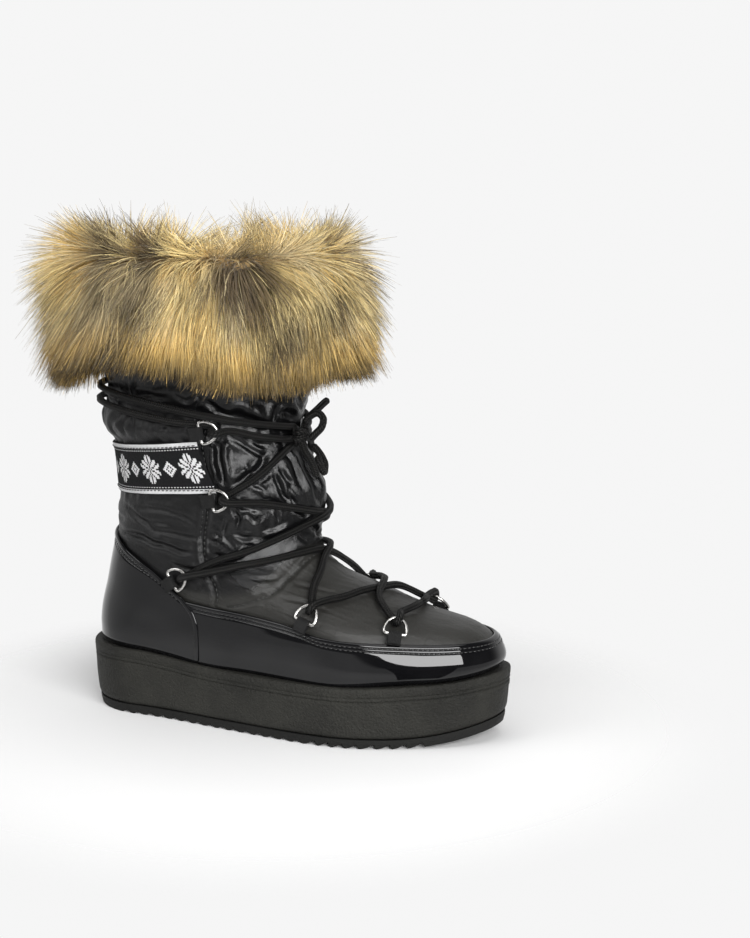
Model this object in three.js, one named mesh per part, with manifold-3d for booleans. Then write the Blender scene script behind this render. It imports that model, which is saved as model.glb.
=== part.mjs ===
import * as THREE from 'three';
import * as BufferGeometryUtils from 'three/addons/utils/BufferGeometryUtils.js';
import Module from 'manifold-3d';

// A snow boot for the right foot, in millimetres.
// +X runs to the toe, +Y to the inner side of the foot and +Z up.
// Stations along the foot are counted from the back of the sole. The origin is
// on the floor under the middle of the heel, ORIGIN_STATION from the back.

const wasm = await Module();
wasm.setup();

// ---------------------------------------------------------------- driving sizes
const SOLE_LENGTH = 275;
const ORIGIN_STATION = 40;
const GAP = 0.3;
const AROUND = 40;
const SOLE_AROUND = 58;

const TREAD_THICK = 6;
const TOOTH_PITCH = 8.94;
const TOOTH_FIRST = 31;
const TOOTH_GAPS = 23;
const TOOTH_TIP = 2.4;
const TOOTH_DEPTH = 3;
const TOOTH_REACH = 17;
const SPRING_START = 215;
const SPRING_RUN = 60;
const SPRING_RISE = 10.4;

const INSOLE_THICK = 4.5;
const WALL = 4;
const COVER = 1.4;
const SKIN = -(COVER + 3 * GAP);

const SEAM_ANGLE = 110;
const SEAM_GAP = 0.3;
const BAND_ANGLE = 74;

const WIRE_RADIUS = 1;
const RING_HALF_WIDTH = 6.8;
const RING_DEPTH = 10.5;
const RING_LIFT = 3;
const TAB_WIDTH = 8;
const TAB_LENGTH = 7;
const TAB_THICK = 0.8;

const LACE_RADIUS = 2.15;
const LACE_LIFT = 3.4;
const LACE_SIDES = 8;
const LACE_STEP = 16;
const BOW_STEP = 7;

// Height of the platform's rim along the foot.
const RIM = [
  { station: -5, height: 41.9 },
  { station: 30, height: 43.0 },
  { station: 110, height: 38.7 },
  { station: 190, height: 38.0 },
  { station: 240, height: 40.0 },
  { station: 280, height: 44.7 },
];

// Half widths of the sole, outer and inner side, between its round ends.
const SOLE_WIDTH = [
  { station: 0, outer: 39.3, inner: 39.3 },
  { station: 45, outer: 39.3, inner: 39.3 },
  { station: 115, outer: 46.5, inner: 36.0 },
  { station: 185, outer: 53.2, inner: 50.0 },
  { station: 235, outer: 46.2, inner: 44.0 },
  { station: 275, outer: 42.2, inner: 40.0 },
];

// Side wall of the platform: height up from its foot or down from its rim, and
// how far the wall stands inside the sole's outline.
const PLATFORM_WALL = [
  { up: 0, inset: 4.4 },
  { up: 1.6, inset: 2.6 },
  { up: 3.6, inset: 1.9 },
  { down: 9.2, inset: 0.3 },
  { down: 8.2, inset: 0.9 },
  { down: 7.2, inset: 0.2 },
  { down: 1.4, inset: 0 },
  { down: 0.4, inset: 0.5 },
  { down: 0, inset: 1.6 },
];

const TREAD_WALL = [
  { up: 0, inset: 4.4 },
  { up: 1.2, inset: 3.3 },
  { up: TREAD_THICK, inset: 2.9 },
];

// Closed sections of the foot and shaft, from the feather line to the collar.
// Each lies on a plane through a point on the back and one on the front.
// heelRound and toeRound are how far the round ends reach, and toePower squares
// the toe. The widths are half widths at the heel, waist, ball and toe stations.
const SECTION_KEYS = [
  'height', 'back', 'frontHeight', 'front', 'heelRound', 'toeRound', 'toePower',
  'heel', 'outerWaist', 'innerWaist', 'outerBall', 'innerBall', 'outerToe', 'innerToe',
];
const SECTIONS = [
  [40, 4.5, 41, 268, 40, 88, 2.3, 36.5, 43, 34, 50, 47, 42.5, 41],
  [52, 4.5, 50, 270, 40, 88, 2.3, 37.5, 44, 35, 51, 48, 43.5, 42],
  [62, 5.5, 60, 268, 40, 86, 2.3, 38, 44, 36, 51, 48, 42.5, 41],
  [71, 7.5, 68, 257, 41, 84, 2.3, 38.5, 44, 37, 49, 46, 38, 37],
  [80, 10, 76, 229, 42, 80, 2.2, 39, 44, 38, 45, 43, 32, 32],
  [90, 12, 86, 200, 43, 76, 2.1, 39.5, 43, 38, 40, 39, 28, 28],
  [101, 14.5, 97, 172, 45, 74, 2, 40, 42, 38.5, 36, 35, 24, 24],
  [112, 17, 109, 158, 50, 72, 2, 40.5, 41.5, 39, 32, 32, 20, 20],
  [122, 19, 120, 154.5, 56, 70, 2, 41.5, 41.5, 40, 30, 30, 20, 20],
  [133, 19.5, 132, 157, 60, 68, 2, 42.5, 42.5, 41.5, 30, 30, 20, 20],
  [146, 19.5, 146, 157.5, 62, 68, 2, 44, 44, 43, 30, 30, 20, 20],
  [160, 18.5, 160, 151, 64, 66, 2, 45, 45.5, 45, 30, 30, 20, 20],
  [178, 14.5, 178, 142.5, 65, 65, 2, 46, 47, 46.5, 30, 30, 20, 20],
  [196, 11.5, 196, 143.5, 66, 66, 2, 47.5, 48, 47.5, 30, 30, 20, 20],
  [212, 12.5, 212, 149, 66, 66, 2, 48, 49, 48.5, 30, 30, 20, 20],
  [232, 12, 232, 153, 68, 68, 2, 49, 50, 49.5, 30, 30, 20, 20],
  [262, 11, 262, 155, 70, 70, 2, 50.5, 51.5, 51, 30, 30, 20, 20],
].map((row) => Object.fromEntries(SECTION_KEYS.map((key, i) => [key, row[i]])));
const FEATHER = SECTIONS[0].height;
const COLLAR = SECTIONS[SECTIONS.length - 1].height;
const WIDTH_STATIONS = [45, 115, 185, 235];
const TOE_SWING = 12.3;
const SWING_START = 120;
const SWING_RUN = 155;

// Levels of the upper's solid.
const UPPER_LEVELS = [40, 50, 60, 68, 76, 86, 98, 112, 126, 142, 160, 178, 196, 214, 236, 262];

// Top seam of the mudguard, by angle round the section from the toe, outer side.
const MUDGUARD_TOP = [
  { angle: 0, height: 65.5 },
  { angle: 40, height: 66 },
  { angle: 70, height: 69 },
  { angle: 80, height: 75 },
  { angle: 110, height: 80 },
];

// Top edge of the heel counter, by angle from the heel's middle line.
const COUNTER_TOP = [
  { angle: 0, height: 115.5 },
  { angle: 30, height: 111.5 },
  { angle: 50, height: 105 },
  { angle: 62, height: 97 },
  { angle: 70, height: 81 },
];

// Lower and upper edge of the woven band, by angle from the heel's middle line.
const BAND_EDGES = [
  { angle: 0, low: 140, high: 170 },
  { angle: 40, low: 141, high: 172 },
  { angle: 74, low: 144.5, high: 175.5 },
  { angle: 106, low: 147.5, high: 179.5 },
];

// Rings down one side, from the toe. heading turns the bow from straight up
// to straight forward.
const RINGS = [
  { angle: 46, height: 71, heading: 12 },
  { angle: 68, height: 77, heading: 18 },
  { angle: 107, height: 92, heading: 55 },
  { angle: 76, height: 144, heading: 80 },
  { angle: 71, height: 185, heading: 80 },
];

// Lace spans by angle and height on the upper, from the outer side to the inner.
// The last three stop at the front or the back, and are finished by mirroring.
const LACES = {
  toeBar: [[35, 80], [26, 80.5], [13, 82], [0, 82.5], [-13, 82], [-26, 80.5], [-35, 80]],
  low: [[54, 86.5], [47, 87.5], [38, 88.8], [22, 91], [2, 91.5], [-20, 87.5], [-36, 82.5]],
  middle: [[94, 97.5], [80, 102], [65, 105.8], [48, 108.8], [28, 112], [4, 112.5],
    [-12, 107.5], [-25, 102], [-44, 93.5], [-54, 88.5]],
  high: [[93, 104], [77, 107.5], [57, 114.8], [39, 122], [23, 128.6], [7, 133],
    [-12, 135.5], [-35, 139.8], [-52, 143], [-60, 144.3]],
  riser: [[62, 150], [52, 156], [40, 163], [26, 170], [14, 175.5], [0, 178]],
  wrapFront: [[56, 186.5], [38, 182.2], [21, 179.5], [0, 178]],
  wrapUpper: [[11, 186], [42, 190.5], [70, 196], [97, 201], [134, 205.5], [180, 207]],
  wrapLower: [[84, 191], [97, 193], [134, 197], [180, 198.5]],
};

const KNOT_ANGLE = 15;
const KNOT_HEIGHT = 182;
const KNOT_LIFT = 11;
const KNOT_SIZE = [5, 8, 6];

// Bow: loops and ends by their points from the knot's middle, in millimetres
// out from the shin, across to the outer side and up.
const BOW = {
  lace_loop_outer: [[4, 3, 8.8], [8, 2.5, 13], [13, 3, 15], [17, 4, 12], [16.5, 5.5, 7],
    [12.5, 6.5, 2.5], [9.5, 7, -1]],
  lace_loop_inner: [[4, -7.5, -6], [8, -9, -11], [12, -8.5, -17], [13.5, -4.5, -22],
    [12.5, -1, -17], [10.5, -1, -11]],
  lace_end_outer: [[5, 5, -8], [9, 7, -12], [13, 9, -17], [15.5, 10, -23]],
  lace_end_inner: [[2, -4, 8.8], [5, -5, 12.5], [9, -5, 16], [13, -4, 19.5], [17.5, -2.5, 23]],
};

// Section of the fur collar: height and distance out from the shaft.
const FUR_SECTION = [
  { height: 222, out: 6 },
  { height: 216, out: 16 },
  { height: 212, out: 27 },
  { height: 217, out: 36 },
  { height: 234, out: 41.5 },
  { height: 258, out: 42.5 },
  { height: 284, out: 39 },
  { height: 303, out: 29 },
  { height: 312, out: 17 },
  { height: 308, out: 7 },
  { height: 296, out: 0 },
  { height: 278, out: -3 },
  { height: 266, out: 0.5 },
  { height: 227, out: 0.5 },
];

// ---------------------------------------------------------------- small tools
const radians = (degrees) => degrees * Math.PI / 180;
const mix = (a, b, t) => a + (b - a) * t;
const clamp01 = (v) => Math.min(1, Math.max(0, v));
const ease = (v) => clamp01(v) ** 2 * (3 - 2 * clamp01(v));

// Smooth value of one column of a table: a cubic through its rows that never
// overshoots, with harmonic-mean slopes.
function read(table, by, where, column) {
  const last = table.length - 1;
  const at = Math.min(table[last][by], Math.max(table[0][by], where));
  let i = 0;
  while (i < last - 1 && at > table[i + 1][by]) i += 1;
  const slope = (k) => (table[k + 1][column] - table[k][column]) / (table[k + 1][by] - table[k][by]);
  const tangent = (k) => {
    if (k === 0) return slope(0);
    if (k === last) return slope(last - 1);
    const a = slope(k - 1);
    const b = slope(k);
    return a * b <= 0 ? 0 : 2 * a * b / (a + b);
  };
  const run = table[i + 1][by] - table[i][by];
  const t = (at - table[i][by]) / run;
  return (2 * t ** 3 - 3 * t ** 2 + 1) * table[i][column] + (t ** 3 - 2 * t ** 2 + t) * run * tangent(i)
    + (3 * t ** 2 - 2 * t ** 3) * table[i + 1][column] + (t ** 3 - t ** 2) * run * tangent(i + 1);
}

// Angles round a section, in degrees, set half a step off so that the two
// sides are opposite each other.
const ring = (count) => Array.from({ length: count }, (_, i) => 360 * (i + 0.5) / count);
const steps = (from, to, count) => Array.from({ length: count + 1 }, (_, i) => mix(from, to, i / count));

// A closed body from sections of equal size, joined in order. An open run gets
// flat ends, laced across from point to point.
function sweep(sections, closed) {
  const size = sections[0].length;
  const count = sections.length;
  const index = [];
  const quad = (a, b, c, d) => index.push(a, b, c, a, c, d);
  for (let i = 0; i < (closed ? count : count - 1); i += 1) {
    const near = i * size;
    const far = ((i + 1) % count) * size;
    for (let j = 0; j < size; j += 1) {
      const next = (j + 1) % size;
      quad(near + j, near + next, far + next, far + j);
    }
  }
  if (!closed) {
    const end = (count - 1) * size;
    for (let j = 0; j < size / 2 - 1; j += 1) {
      quad(size - 1 - j, size - 2 - j, j + 1, j);
      quad(end + j, end + j + 1, end + size - 2 - j, end + size - 1 - j);
    }
  }
  const geometry = new THREE.BufferGeometry();
  const points = sections.flat().flatMap((p) => [p.x, p.y, p.z]);
  geometry.setAttribute('position', new THREE.Float32BufferAttribute(points, 3));
  geometry.setIndex(index);
  return outward(geometry);
}

// Turns a closed body's faces outward by the sign of its volume.
function outward(geometry) {
  const p = geometry.attributes.position;
  const index = geometry.index.array;
  const corner = (i) => new THREE.Vector3().fromBufferAttribute(p, index[i]);
  let volume = 0;
  for (let i = 0; i < index.length; i += 3) {
    volume += corner(i).dot(corner(i + 1).cross(corner(i + 2)));
  }
  if (volume < 0) {
    for (let i = 0; i < index.length; i += 3) {
      [index[i], index[i + 1]] = [index[i + 1], index[i]];
    }
  }
  return geometry;
}

function toSolid(geometry) {
  const bare = geometry.clone();
  bare.deleteAttribute('normal');
  bare.deleteAttribute('uv');
  const merged = BufferGeometryUtils.mergeVertices(bare, 1e-4);
  return new wasm.Manifold(new wasm.Mesh({
    numProp: 3,
    vertProperties: new Float32Array(merged.attributes.position.array),
    triVerts: new Uint32Array(merged.index.array),
  }));
}

function toGeometry(solid) {
  const mesh = solid.getMesh();
  const geometry = new THREE.BufferGeometry();
  geometry.setAttribute('position', new THREE.BufferAttribute(mesh.vertProperties, 3));
  geometry.setIndex(new THREE.BufferAttribute(mesh.triVerts, 1));
  return geometry;
}

// ---------------------------------------------------------------- the last and the sole
const spring = (station) => SPRING_RISE * clamp01((station - SPRING_START) / SPRING_RUN) ** 2;
const rimHeight = (station) => read(RIM, 'station', station, 'height');
const swing = (station) => clamp01((station - SWING_START) / SWING_RUN) ** 2 * TOE_SWING;

// Width of a round-ended outline at a distance in from either end, 0 to 1.
function roundEnds(fromBack, fromFront, heelRound, toeRound, toePower) {
  const heelCap = Math.sqrt(1 - (1 - clamp01(fromBack / heelRound)) ** 2);
  const toeCap = (1 - (1 - clamp01(fromFront / toeRound)) ** toePower) ** (1 / toePower);
  return heelCap * toeCap;
}

function soleEdge(degrees) {
  const x = SOLE_LENGTH * (1 + Math.cos(radians(degrees))) / 2;
  const outer = Math.sin(radians(degrees)) >= 0;
  const half = read(SOLE_WIDTH, 'station', x, outer ? 'outer' : 'inner');
  const y = half * roundEnds(x, SOLE_LENGTH - x, 42, 91, 2.3);
  return new THREE.Vector2(x, swing(x) + (outer ? -y : y));
}

function soleInset(degrees, inset) {
  const here = soleEdge(degrees);
  const along = soleEdge(degrees + 0.5).sub(soleEdge(degrees - 0.5)).normalize();
  return new THREE.Vector2(here.x + along.y * inset, here.y - along.x * inset);
}

// A point of the upper's outer form: angle from the toe round by the outer
// side, and height up the back.
function formPoint(degrees, height) {
  const row = (key) => read(SECTIONS, 'height', height, key);
  const turn = (1 + Math.cos(radians(degrees))) / 2;
  const back = row('back');
  const front = row('front');
  const x = mix(back, front, turn);
  const side = Math.sin(radians(degrees)) >= 0 ? 'outer' : 'inner';
  const widths = [row('heel'), row(`${side}Waist`), row(`${side}Ball`), row(`${side}Toe`)];
  let half = widths[0];
  for (let i = 0; i < 3; i += 1) {
    const [from, to] = [WIDTH_STATIONS[i], WIDTH_STATIONS[i + 1]];
    half += (widths[i + 1] - widths[i]) * ease((x - from) / (to - from));
  }
  half *= roundEnds(x - back, front - x, row('heelRound'), row('toeRound'), row('toePower'));
  const centre = swing(x) * clamp01((front - SWING_START) / 150);
  const y = centre + (side === 'outer' ? -half : half);
  const level = mix(height, row('frontHeight'), turn);
  const seat = rimHeight(x) + GAP - mix(FEATHER, SECTIONS[0].frontHeight, turn);
  const z = level + seat * (1 - ease((height - FEATHER) / 22));
  return new THREE.Vector3(x, y, z);
}

function formNormal(degrees, height) {
  const low = Math.max(FEATHER, height - 1.5);
  const high = Math.min(COLLAR, height + 1.5);
  const around = formPoint(degrees + 1, height).sub(formPoint(degrees - 1, height));
  const up = formPoint(degrees, high).sub(formPoint(degrees, low));
  return up.cross(around).normalize();
}

// The same point moved out from the form; at the feather line it moves level.
function onForm(degrees, height, out) {
  const normal = formNormal(degrees, height);
  const level = 1 - ease((height - FEATHER) / 8);
  normal.z *= 1 - level;
  normal.normalize();
  return formPoint(degrees, height).addScaledVector(normal, out);
}

// An overlay cut from the form between its own surface and COVER below it.
// It takes the upper's own angles, so that their facets lie side by side, and
// levelsAt gives its heights at each angle.
function overlay(from, to, levelsAt) {
  const between = [...ring(AROUND).map((degrees) => degrees - 360), ...ring(AROUND)]
    .filter((degrees) => degrees > from + 1 && degrees < to - 1);
  const sections = [from, ...between, to].map((degrees) => {
    const levels = levelsAt(degrees);
    const outer = levels.map((height) => onForm(degrees, height, 0));
    const inner = levels.map((height) => onForm(degrees, height, -COVER));
    return [...outer, ...inner.reverse()];
  });
  return sweep(sections, false);
}

// ---------------------------------------------------------------- sub-parts
function outlineBody(wall, foot, top, count) {
  const loops = wall.map(({ up, down, inset }) => ring(count).map((degrees) => {
    const p = soleInset(degrees, inset);
    const z = down === undefined ? foot(p.x) + up : top(p.x) - down;
    return new THREE.Vector3(p.x, p.y, z);
  }));
  return sweep(loops, false);
}

// One notch between two teeth: upright on its toe side, sloping on the other.
function notch(start, side) {
  const from = start + TOOTH_TIP;
  const to = start + TOOTH_PITCH;
  const floor = spring(to);
  const section = new THREE.Shape([
    new THREE.Vector2(from, floor - 2),
    new THREE.Vector2(to, floor - 2),
    new THREE.Vector2(to, floor + TOOTH_DEPTH),
    new THREE.Vector2(from, spring(from)),
  ]);
  const cut = new THREE.ExtrudeGeometry(section, { depth: TOOTH_REACH + 8, bevelEnabled: false });
  cut.rotateX(Math.PI / 2);
  const edge = soleEdge(side * angleAtStation((from + to) / 2)).y;
  cut.translate(0, side > 0 ? edge + TOOTH_REACH : edge + 8, 0);
  return cut;
}

function angleAtStation(station) {
  return Math.acos(2 * station / SOLE_LENGTH - 1) * 180 / Math.PI;
}

function tread() {
  const slab = outlineBody(TREAD_WALL, spring, rimHeight, SOLE_AROUND);
  let solid = toSolid(slab);
  for (let i = 0; i < TOOTH_GAPS; i += 1) {
    for (const side of [1, -1]) {
      solid = solid.subtract(toSolid(notch(TOOTH_FIRST + i * TOOTH_PITCH, side)));
    }
  }
  return toGeometry(solid);
}

function platform() {
  const foot = (station) => spring(station) + TREAD_THICK + GAP;
  return outlineBody(PLATFORM_WALL, foot, rimHeight, SOLE_AROUND);
}

function insole() {
  const inset = SKIN - WALL - 1;
  const level = (up, extra) => ring(40).map((degrees) => {
    const p = onForm(degrees, FEATHER, inset - extra);
    return new THREE.Vector3(p.x, p.y, rimHeight(p.x) + 2 * GAP + up);
  });
  return sweep([level(0, 0), level(INSOLE_THICK - 1, 0), level(INSOLE_THICK, 1)], false);
}

function upper() {
  const sections = ring(AROUND).map((degrees) => {
    const outer = UPPER_LEVELS.map((height) => onForm(degrees, height, SKIN));
    const inner = UPPER_LEVELS.map((height) => onForm(degrees, height, SKIN - WALL));
    return [...outer, ...inner.reverse()];
  });
  return sweep(sections, true);
}

function mudguard() {
  const levels = (degrees) => {
    const top = read(MUDGUARD_TOP, 'angle', Math.abs(degrees), 'height');
    return [40, 50, 58, mix(58, top, 0.5), top];
  };
  return overlay(-SEAM_ANGLE + SEAM_GAP, SEAM_ANGLE - SEAM_GAP, levels);
}

function heelCounter() {
  const levels = (degrees) => {
    const top = read(COUNTER_TOP, 'angle', Math.abs(180 - degrees), 'height');
    return [40, 50, ...steps(60, top, 5)];
  };
  return overlay(SEAM_ANGLE + SEAM_GAP, 360 - SEAM_ANGLE - SEAM_GAP, levels);
}

function wovenBand() {
  const edge = (degrees, column) => read(BAND_EDGES, 'angle', Math.abs(180 - degrees), column);
  const levels = (degrees) => steps(edge(degrees, 'low'), edge(degrees, 'high'), 2);
  return overlay(BAND_ANGLE, 360 - BAND_ANGLE, levels);
}

function furCuff() {
  const sections = ring(36).map((degrees) => FUR_SECTION.map(({ height, out }) => {
    const p = onForm(degrees, Math.min(height, COLLAR), out);
    return new THREE.Vector3(p.x, p.y, height);
  }));
  return sweep(sections, true);
}

// A frame on the form: origin, forward tangent, upward tangent, outward normal.
function frameAt(degrees, height, lift, heading, side) {
  const origin = onForm(side * degrees, height, lift);
  const out = formNormal(side * degrees, height);
  const forward = formPoint(side * (degrees - 1), height).sub(formPoint(side * (degrees + 1), height));
  forward.addScaledVector(out, -forward.dot(out)).normalize();
  const up = new THREE.Vector3().crossVectors(out, forward).multiplyScalar(-side);
  if (up.z < 0) up.negate();
  const turn = radians(heading);
  const bow = up.clone().multiplyScalar(Math.cos(turn)).addScaledVector(forward, Math.sin(turn));
  const bar = new THREE.Vector3().crossVectors(bow, out);
  return { origin, out, bow, bar };
}

const place = (frame, across, away, lift) => frame.origin.clone()
  .addScaledVector(frame.bar, across)
  .addScaledVector(frame.bow, away)
  .addScaledVector(frame.out, lift);

// A wire bent to a D: a straight bar with a round bow, closed on itself.
function dRing(frame) {
  const arc = steps(0, 180, 7).map((degrees) => [
    RING_HALF_WIDTH * Math.cos(radians(degrees)),
    1.5 + (RING_DEPTH - 1.5) * Math.sin(radians(degrees)),
  ]);
  const path = [[-5.6, 0], [5.6, 0], ...arc];
  const middle = [0, RING_DEPTH * 0.4];
  const sections = path.map(([across, away], i) => {
    const before = path[(i + path.length - 1) % path.length];
    const after = path[(i + 1) % path.length];
    const side = new THREE.Vector2(after[1] - before[1], before[0] - after[0]).normalize();
    if (side.x * (across - middle[0]) + side.y * (away - middle[1]) < 0) side.negate();
    return ring(6).map((degrees) => {
      const flat = WIRE_RADIUS * Math.cos(radians(degrees));
      return place(frame, across + side.x * flat, away + side.y * flat, WIRE_RADIUS * Math.sin(radians(degrees)));
    });
  });
  return sweep(sections, true);
}

// A strip folded round the ring's bar, its two tails running back from it.
function tab(frame) {
  const inner = WIRE_RADIUS + GAP;
  const fold = (radius) => [
    [-TAB_LENGTH, radius], ...steps(90, -90, 3).map((degrees) => [
      radius * Math.cos(radians(degrees)), radius * Math.sin(radians(degrees))]),
    [-TAB_LENGTH, -radius],
  ];
  const section = [...fold(inner + TAB_THICK), ...fold(inner).reverse()];
  const side = (across) => section.map(([away, lift]) => place(frame, across, away, lift));
  return sweep([side(-TAB_WIDTH / 2), side(TAB_WIDTH / 2)], false);
}

// A round cord along points, as an extruded section.
function cord(points, radius, spacing) {
  const curve = new THREE.CatmullRomCurve3(points, false, 'centripetal');
  const section = new THREE.Shape(ring(LACE_SIDES).map((degrees) => new THREE.Vector2(
    radius * Math.cos(radians(degrees)),
    radius * Math.sin(radians(degrees)),
  )));
  const count = Math.max(6, Math.round(curve.getLength() / spacing));
  return new THREE.ExtrudeGeometry(section, { steps: count, extrudePath: curve });
}

const onLace = (route) => route.map(([degrees, height]) => onForm(degrees, height, LACE_LIFT));
const mirrored = (route) => route.map(([degrees, height]) => [-degrees, height]);

// Cords on the outer side and their mirrored twins, joined where they touch.
function crossing(...routes) {
  const spans = routes.flatMap((route) => [route, mirrored(route)]);
  const solids = spans.map((route) => toSolid(cord(onLace(route), LACE_RADIUS, LACE_STEP)));
  return toGeometry(solids.reduce((joined, solid) => joined.add(solid)));
}

// A route that ends at the back, carried on round to the inner side.
function wrap(route) {
  const back = mirrored(route).reverse().slice(1);
  const whole = [...route, ...back.map(([degrees, height]) => [degrees + 360, height])];
  return cord(onLace(whole), LACE_RADIUS, LACE_STEP);
}

function fromKnot([out, outer, up]) {
  const knot = onForm(KNOT_ANGLE, KNOT_HEIGHT, KNOT_LIFT);
  return new THREE.Vector3(knot.x + out, knot.y - outer, knot.z + up);
}

function knot() {
  const lump = new THREE.SphereGeometry(1, 10, 7);
  lump.scale(...KNOT_SIZE);
  const middle = fromKnot([0, 0, 0]);
  lump.translate(middle.x, middle.y, middle.z);
  return toGeometry(toSolid(lump));
}

// ---------------------------------------------------------------- materials
const paint = (color, roughness, metalness = 0) => new THREE.MeshStandardMaterial({ color, roughness, metalness });
const MATERIALS = {
  treadRubber: paint(0x161616, 0.85),
  platformRubber: paint(0x35342f, 0.8),
  patent: paint(0x08080a, 0.08),
  nylon: paint(0x101012, 0.35),
  lining: paint(0x2b2a28, 0.95),
  woven: paint(0x17171a, 0.8),
  lace: paint(0x0d0d0e, 0.6),
  tabLeather: paint(0x0e0e0f, 0.5),
  steel: paint(0xb9b8b4, 0.25, 1),
  fur: paint(0xa88a58, 0.9),
};

// ---------------------------------------------------------------- assembly
const boot = new THREE.Group();
boot.name = 'snow_boot';
const fromHeel = new THREE.Group();
fromHeel.position.x = -ORIGIN_STATION;
boot.add(fromHeel);

function add(name, geometry, material) {
  geometry.computeVertexNormals();
  const mesh = new THREE.Mesh(geometry, material);
  mesh.name = name;
  fromHeel.add(mesh);
}

add('tread', tread(), MATERIALS.treadRubber);
add('platform', platform(), MATERIALS.platformRubber);
add('insole', insole(), MATERIALS.lining);
add('upper', upper(), MATERIALS.nylon);
add('mudguard', mudguard(), MATERIALS.patent);
add('heel_counter', heelCounter(), MATERIALS.patent);
add('woven_band', wovenBand(), MATERIALS.woven);
add('fur_cuff', furCuff(), MATERIALS.fur);

RINGS.forEach(({ angle, height, heading }, i) => {
  for (const [side, word] of [[1, 'outer'], [-1, 'inner']]) {
    const frame = frameAt(angle, height, RING_LIFT, heading, side);
    add(`ring_${i + 1}_${word}`, dRing(frame), MATERIALS.steel);
    add(`tab_${i + 1}_${word}`, tab(frame), MATERIALS.tabLeather);
  }
});

add('lace_bar_toe', cord(onLace(LACES.toeBar), LACE_RADIUS, LACE_STEP), MATERIALS.lace);
add('lace_cross_low', crossing(LACES.low), MATERIALS.lace);
add('lace_cross_middle', crossing(LACES.middle), MATERIALS.lace);
add('lace_cross_high', crossing(LACES.high), MATERIALS.lace);
add('lace_yoke', crossing(LACES.riser, LACES.wrapFront), MATERIALS.lace);
add('lace_wrap_upper', wrap(LACES.wrapUpper), MATERIALS.lace);
add('lace_wrap_lower', wrap(LACES.wrapLower), MATERIALS.lace);
add('lace_knot', knot(), MATERIALS.lace);
for (const [name, route] of Object.entries(BOW)) {
  add(name, cord(route.map(fromKnot), LACE_RADIUS, BOW_STEP), MATERIALS.lace);
}

export default boot;
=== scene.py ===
# %% [markdown]
# A snow boot for the right foot, finished in Blender.
# The hard frame of the boot is already packed; this script loads it and gives
# every visible part its fine surface: puffed nylon, patent leather, braided
# lace, woven band, pebbled rubber and long fur.
# Shapes are worked out in millimetres, in stations counted from the back of the
# sole, and turned into the frame's metres only when a mesh is made.

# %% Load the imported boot
import math
import bpy
import numpy as np
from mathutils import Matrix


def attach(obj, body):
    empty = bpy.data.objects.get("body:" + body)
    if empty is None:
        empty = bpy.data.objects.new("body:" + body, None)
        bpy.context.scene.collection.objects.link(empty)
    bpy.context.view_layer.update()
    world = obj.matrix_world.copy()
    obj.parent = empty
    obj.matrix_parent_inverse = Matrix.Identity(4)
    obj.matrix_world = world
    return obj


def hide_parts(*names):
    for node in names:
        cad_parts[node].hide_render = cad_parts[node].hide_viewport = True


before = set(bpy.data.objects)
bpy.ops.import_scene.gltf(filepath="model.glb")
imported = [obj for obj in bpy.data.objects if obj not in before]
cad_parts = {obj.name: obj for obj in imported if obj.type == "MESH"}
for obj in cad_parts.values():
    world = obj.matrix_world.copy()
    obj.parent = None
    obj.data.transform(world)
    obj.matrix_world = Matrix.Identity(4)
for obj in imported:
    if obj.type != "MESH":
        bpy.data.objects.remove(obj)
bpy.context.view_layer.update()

# %% [markdown]
# The camera comes first, because everything is judged through it. A camera can
# be aimed with a constraint, but a plain rotation is easier to read: it stands
# about 1.1 m away on the outer side, a third of a metre up, and looks down by
# ten degrees with a slightly long lens, as for a catalogue.

# %% Camera
CAMERA_PLACE = (0.5812, -1.0052, 0.3565)
CAMERA_DOWN = 10.1
CAMERA_TURN = 23.07
FOCAL = 70.6
SENSOR = 36.0


def add_camera():
    """A camera that looks level along +Y, turned about Z and tipped down."""
    data = bpy.data.cameras.new("camera")
    data.sensor_width = SENSOR
    data.lens = FOCAL
    data.clip_start = 0.01
    camera = bpy.data.objects.new("camera", data)
    camera.location = CAMERA_PLACE
    camera.rotation_euler = (math.radians(90 - CAMERA_DOWN), 0, math.radians(CAMERA_TURN))
    bpy.context.scene.collection.objects.link(camera)
    bpy.context.scene.camera = camera
    return camera


camera = add_camera()
print("camera at", tuple(camera.location))

# %% [markdown]
# Every surface here is a grid of points worked out with numpy, so one helper
# turns arrays into a mesh. Blender can build meshes face by face, but
# foreach_set hands over whole arrays at once, which keeps big meshes quick.

# %% From arrays to a mesh
ORIGIN_STATION = 40.0


def to_frame(points):
    """Millimetres counted from the heel's back, to the frame's metres."""
    return (np.asarray(points, float) - (ORIGIN_STATION, 0, 0)) / 1000.0


def grid_faces(rows, columns, close_rows=False, close_columns=False):
    """Quads of a rows by columns grid, wrapped round where it closes."""
    i = np.arange(rows if close_rows else rows - 1)[:, None]
    j = np.arange(columns if close_columns else columns - 1)[None, :]
    i2 = (i + 1) % rows
    j2 = (j + 1) % columns
    quads = np.stack([i * columns + j, i2 * columns + j, i2 * columns + j2, i * columns + j2], -1)
    return quads.reshape(-1, 4)


def end_faces(rows, columns):
    """Flat ends of a run of closed sections, laced across from side to side."""
    j = np.arange(columns // 2 - 1)
    near = np.stack([j, j + 1, columns - 2 - j, columns - 1 - j], -1)
    far = near[:, ::-1] + (rows - 1) * columns
    return np.concatenate([near, far])


def signed_volume(points, quads):
    """Sum of the tetrahedra between the origin and each half of each quad."""
    a, b, c, d = (points[quads[:, k]] for k in range(4))
    return float((np.cross(a, b) * c).sum() + (np.cross(a, c) * d).sum())


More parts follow.
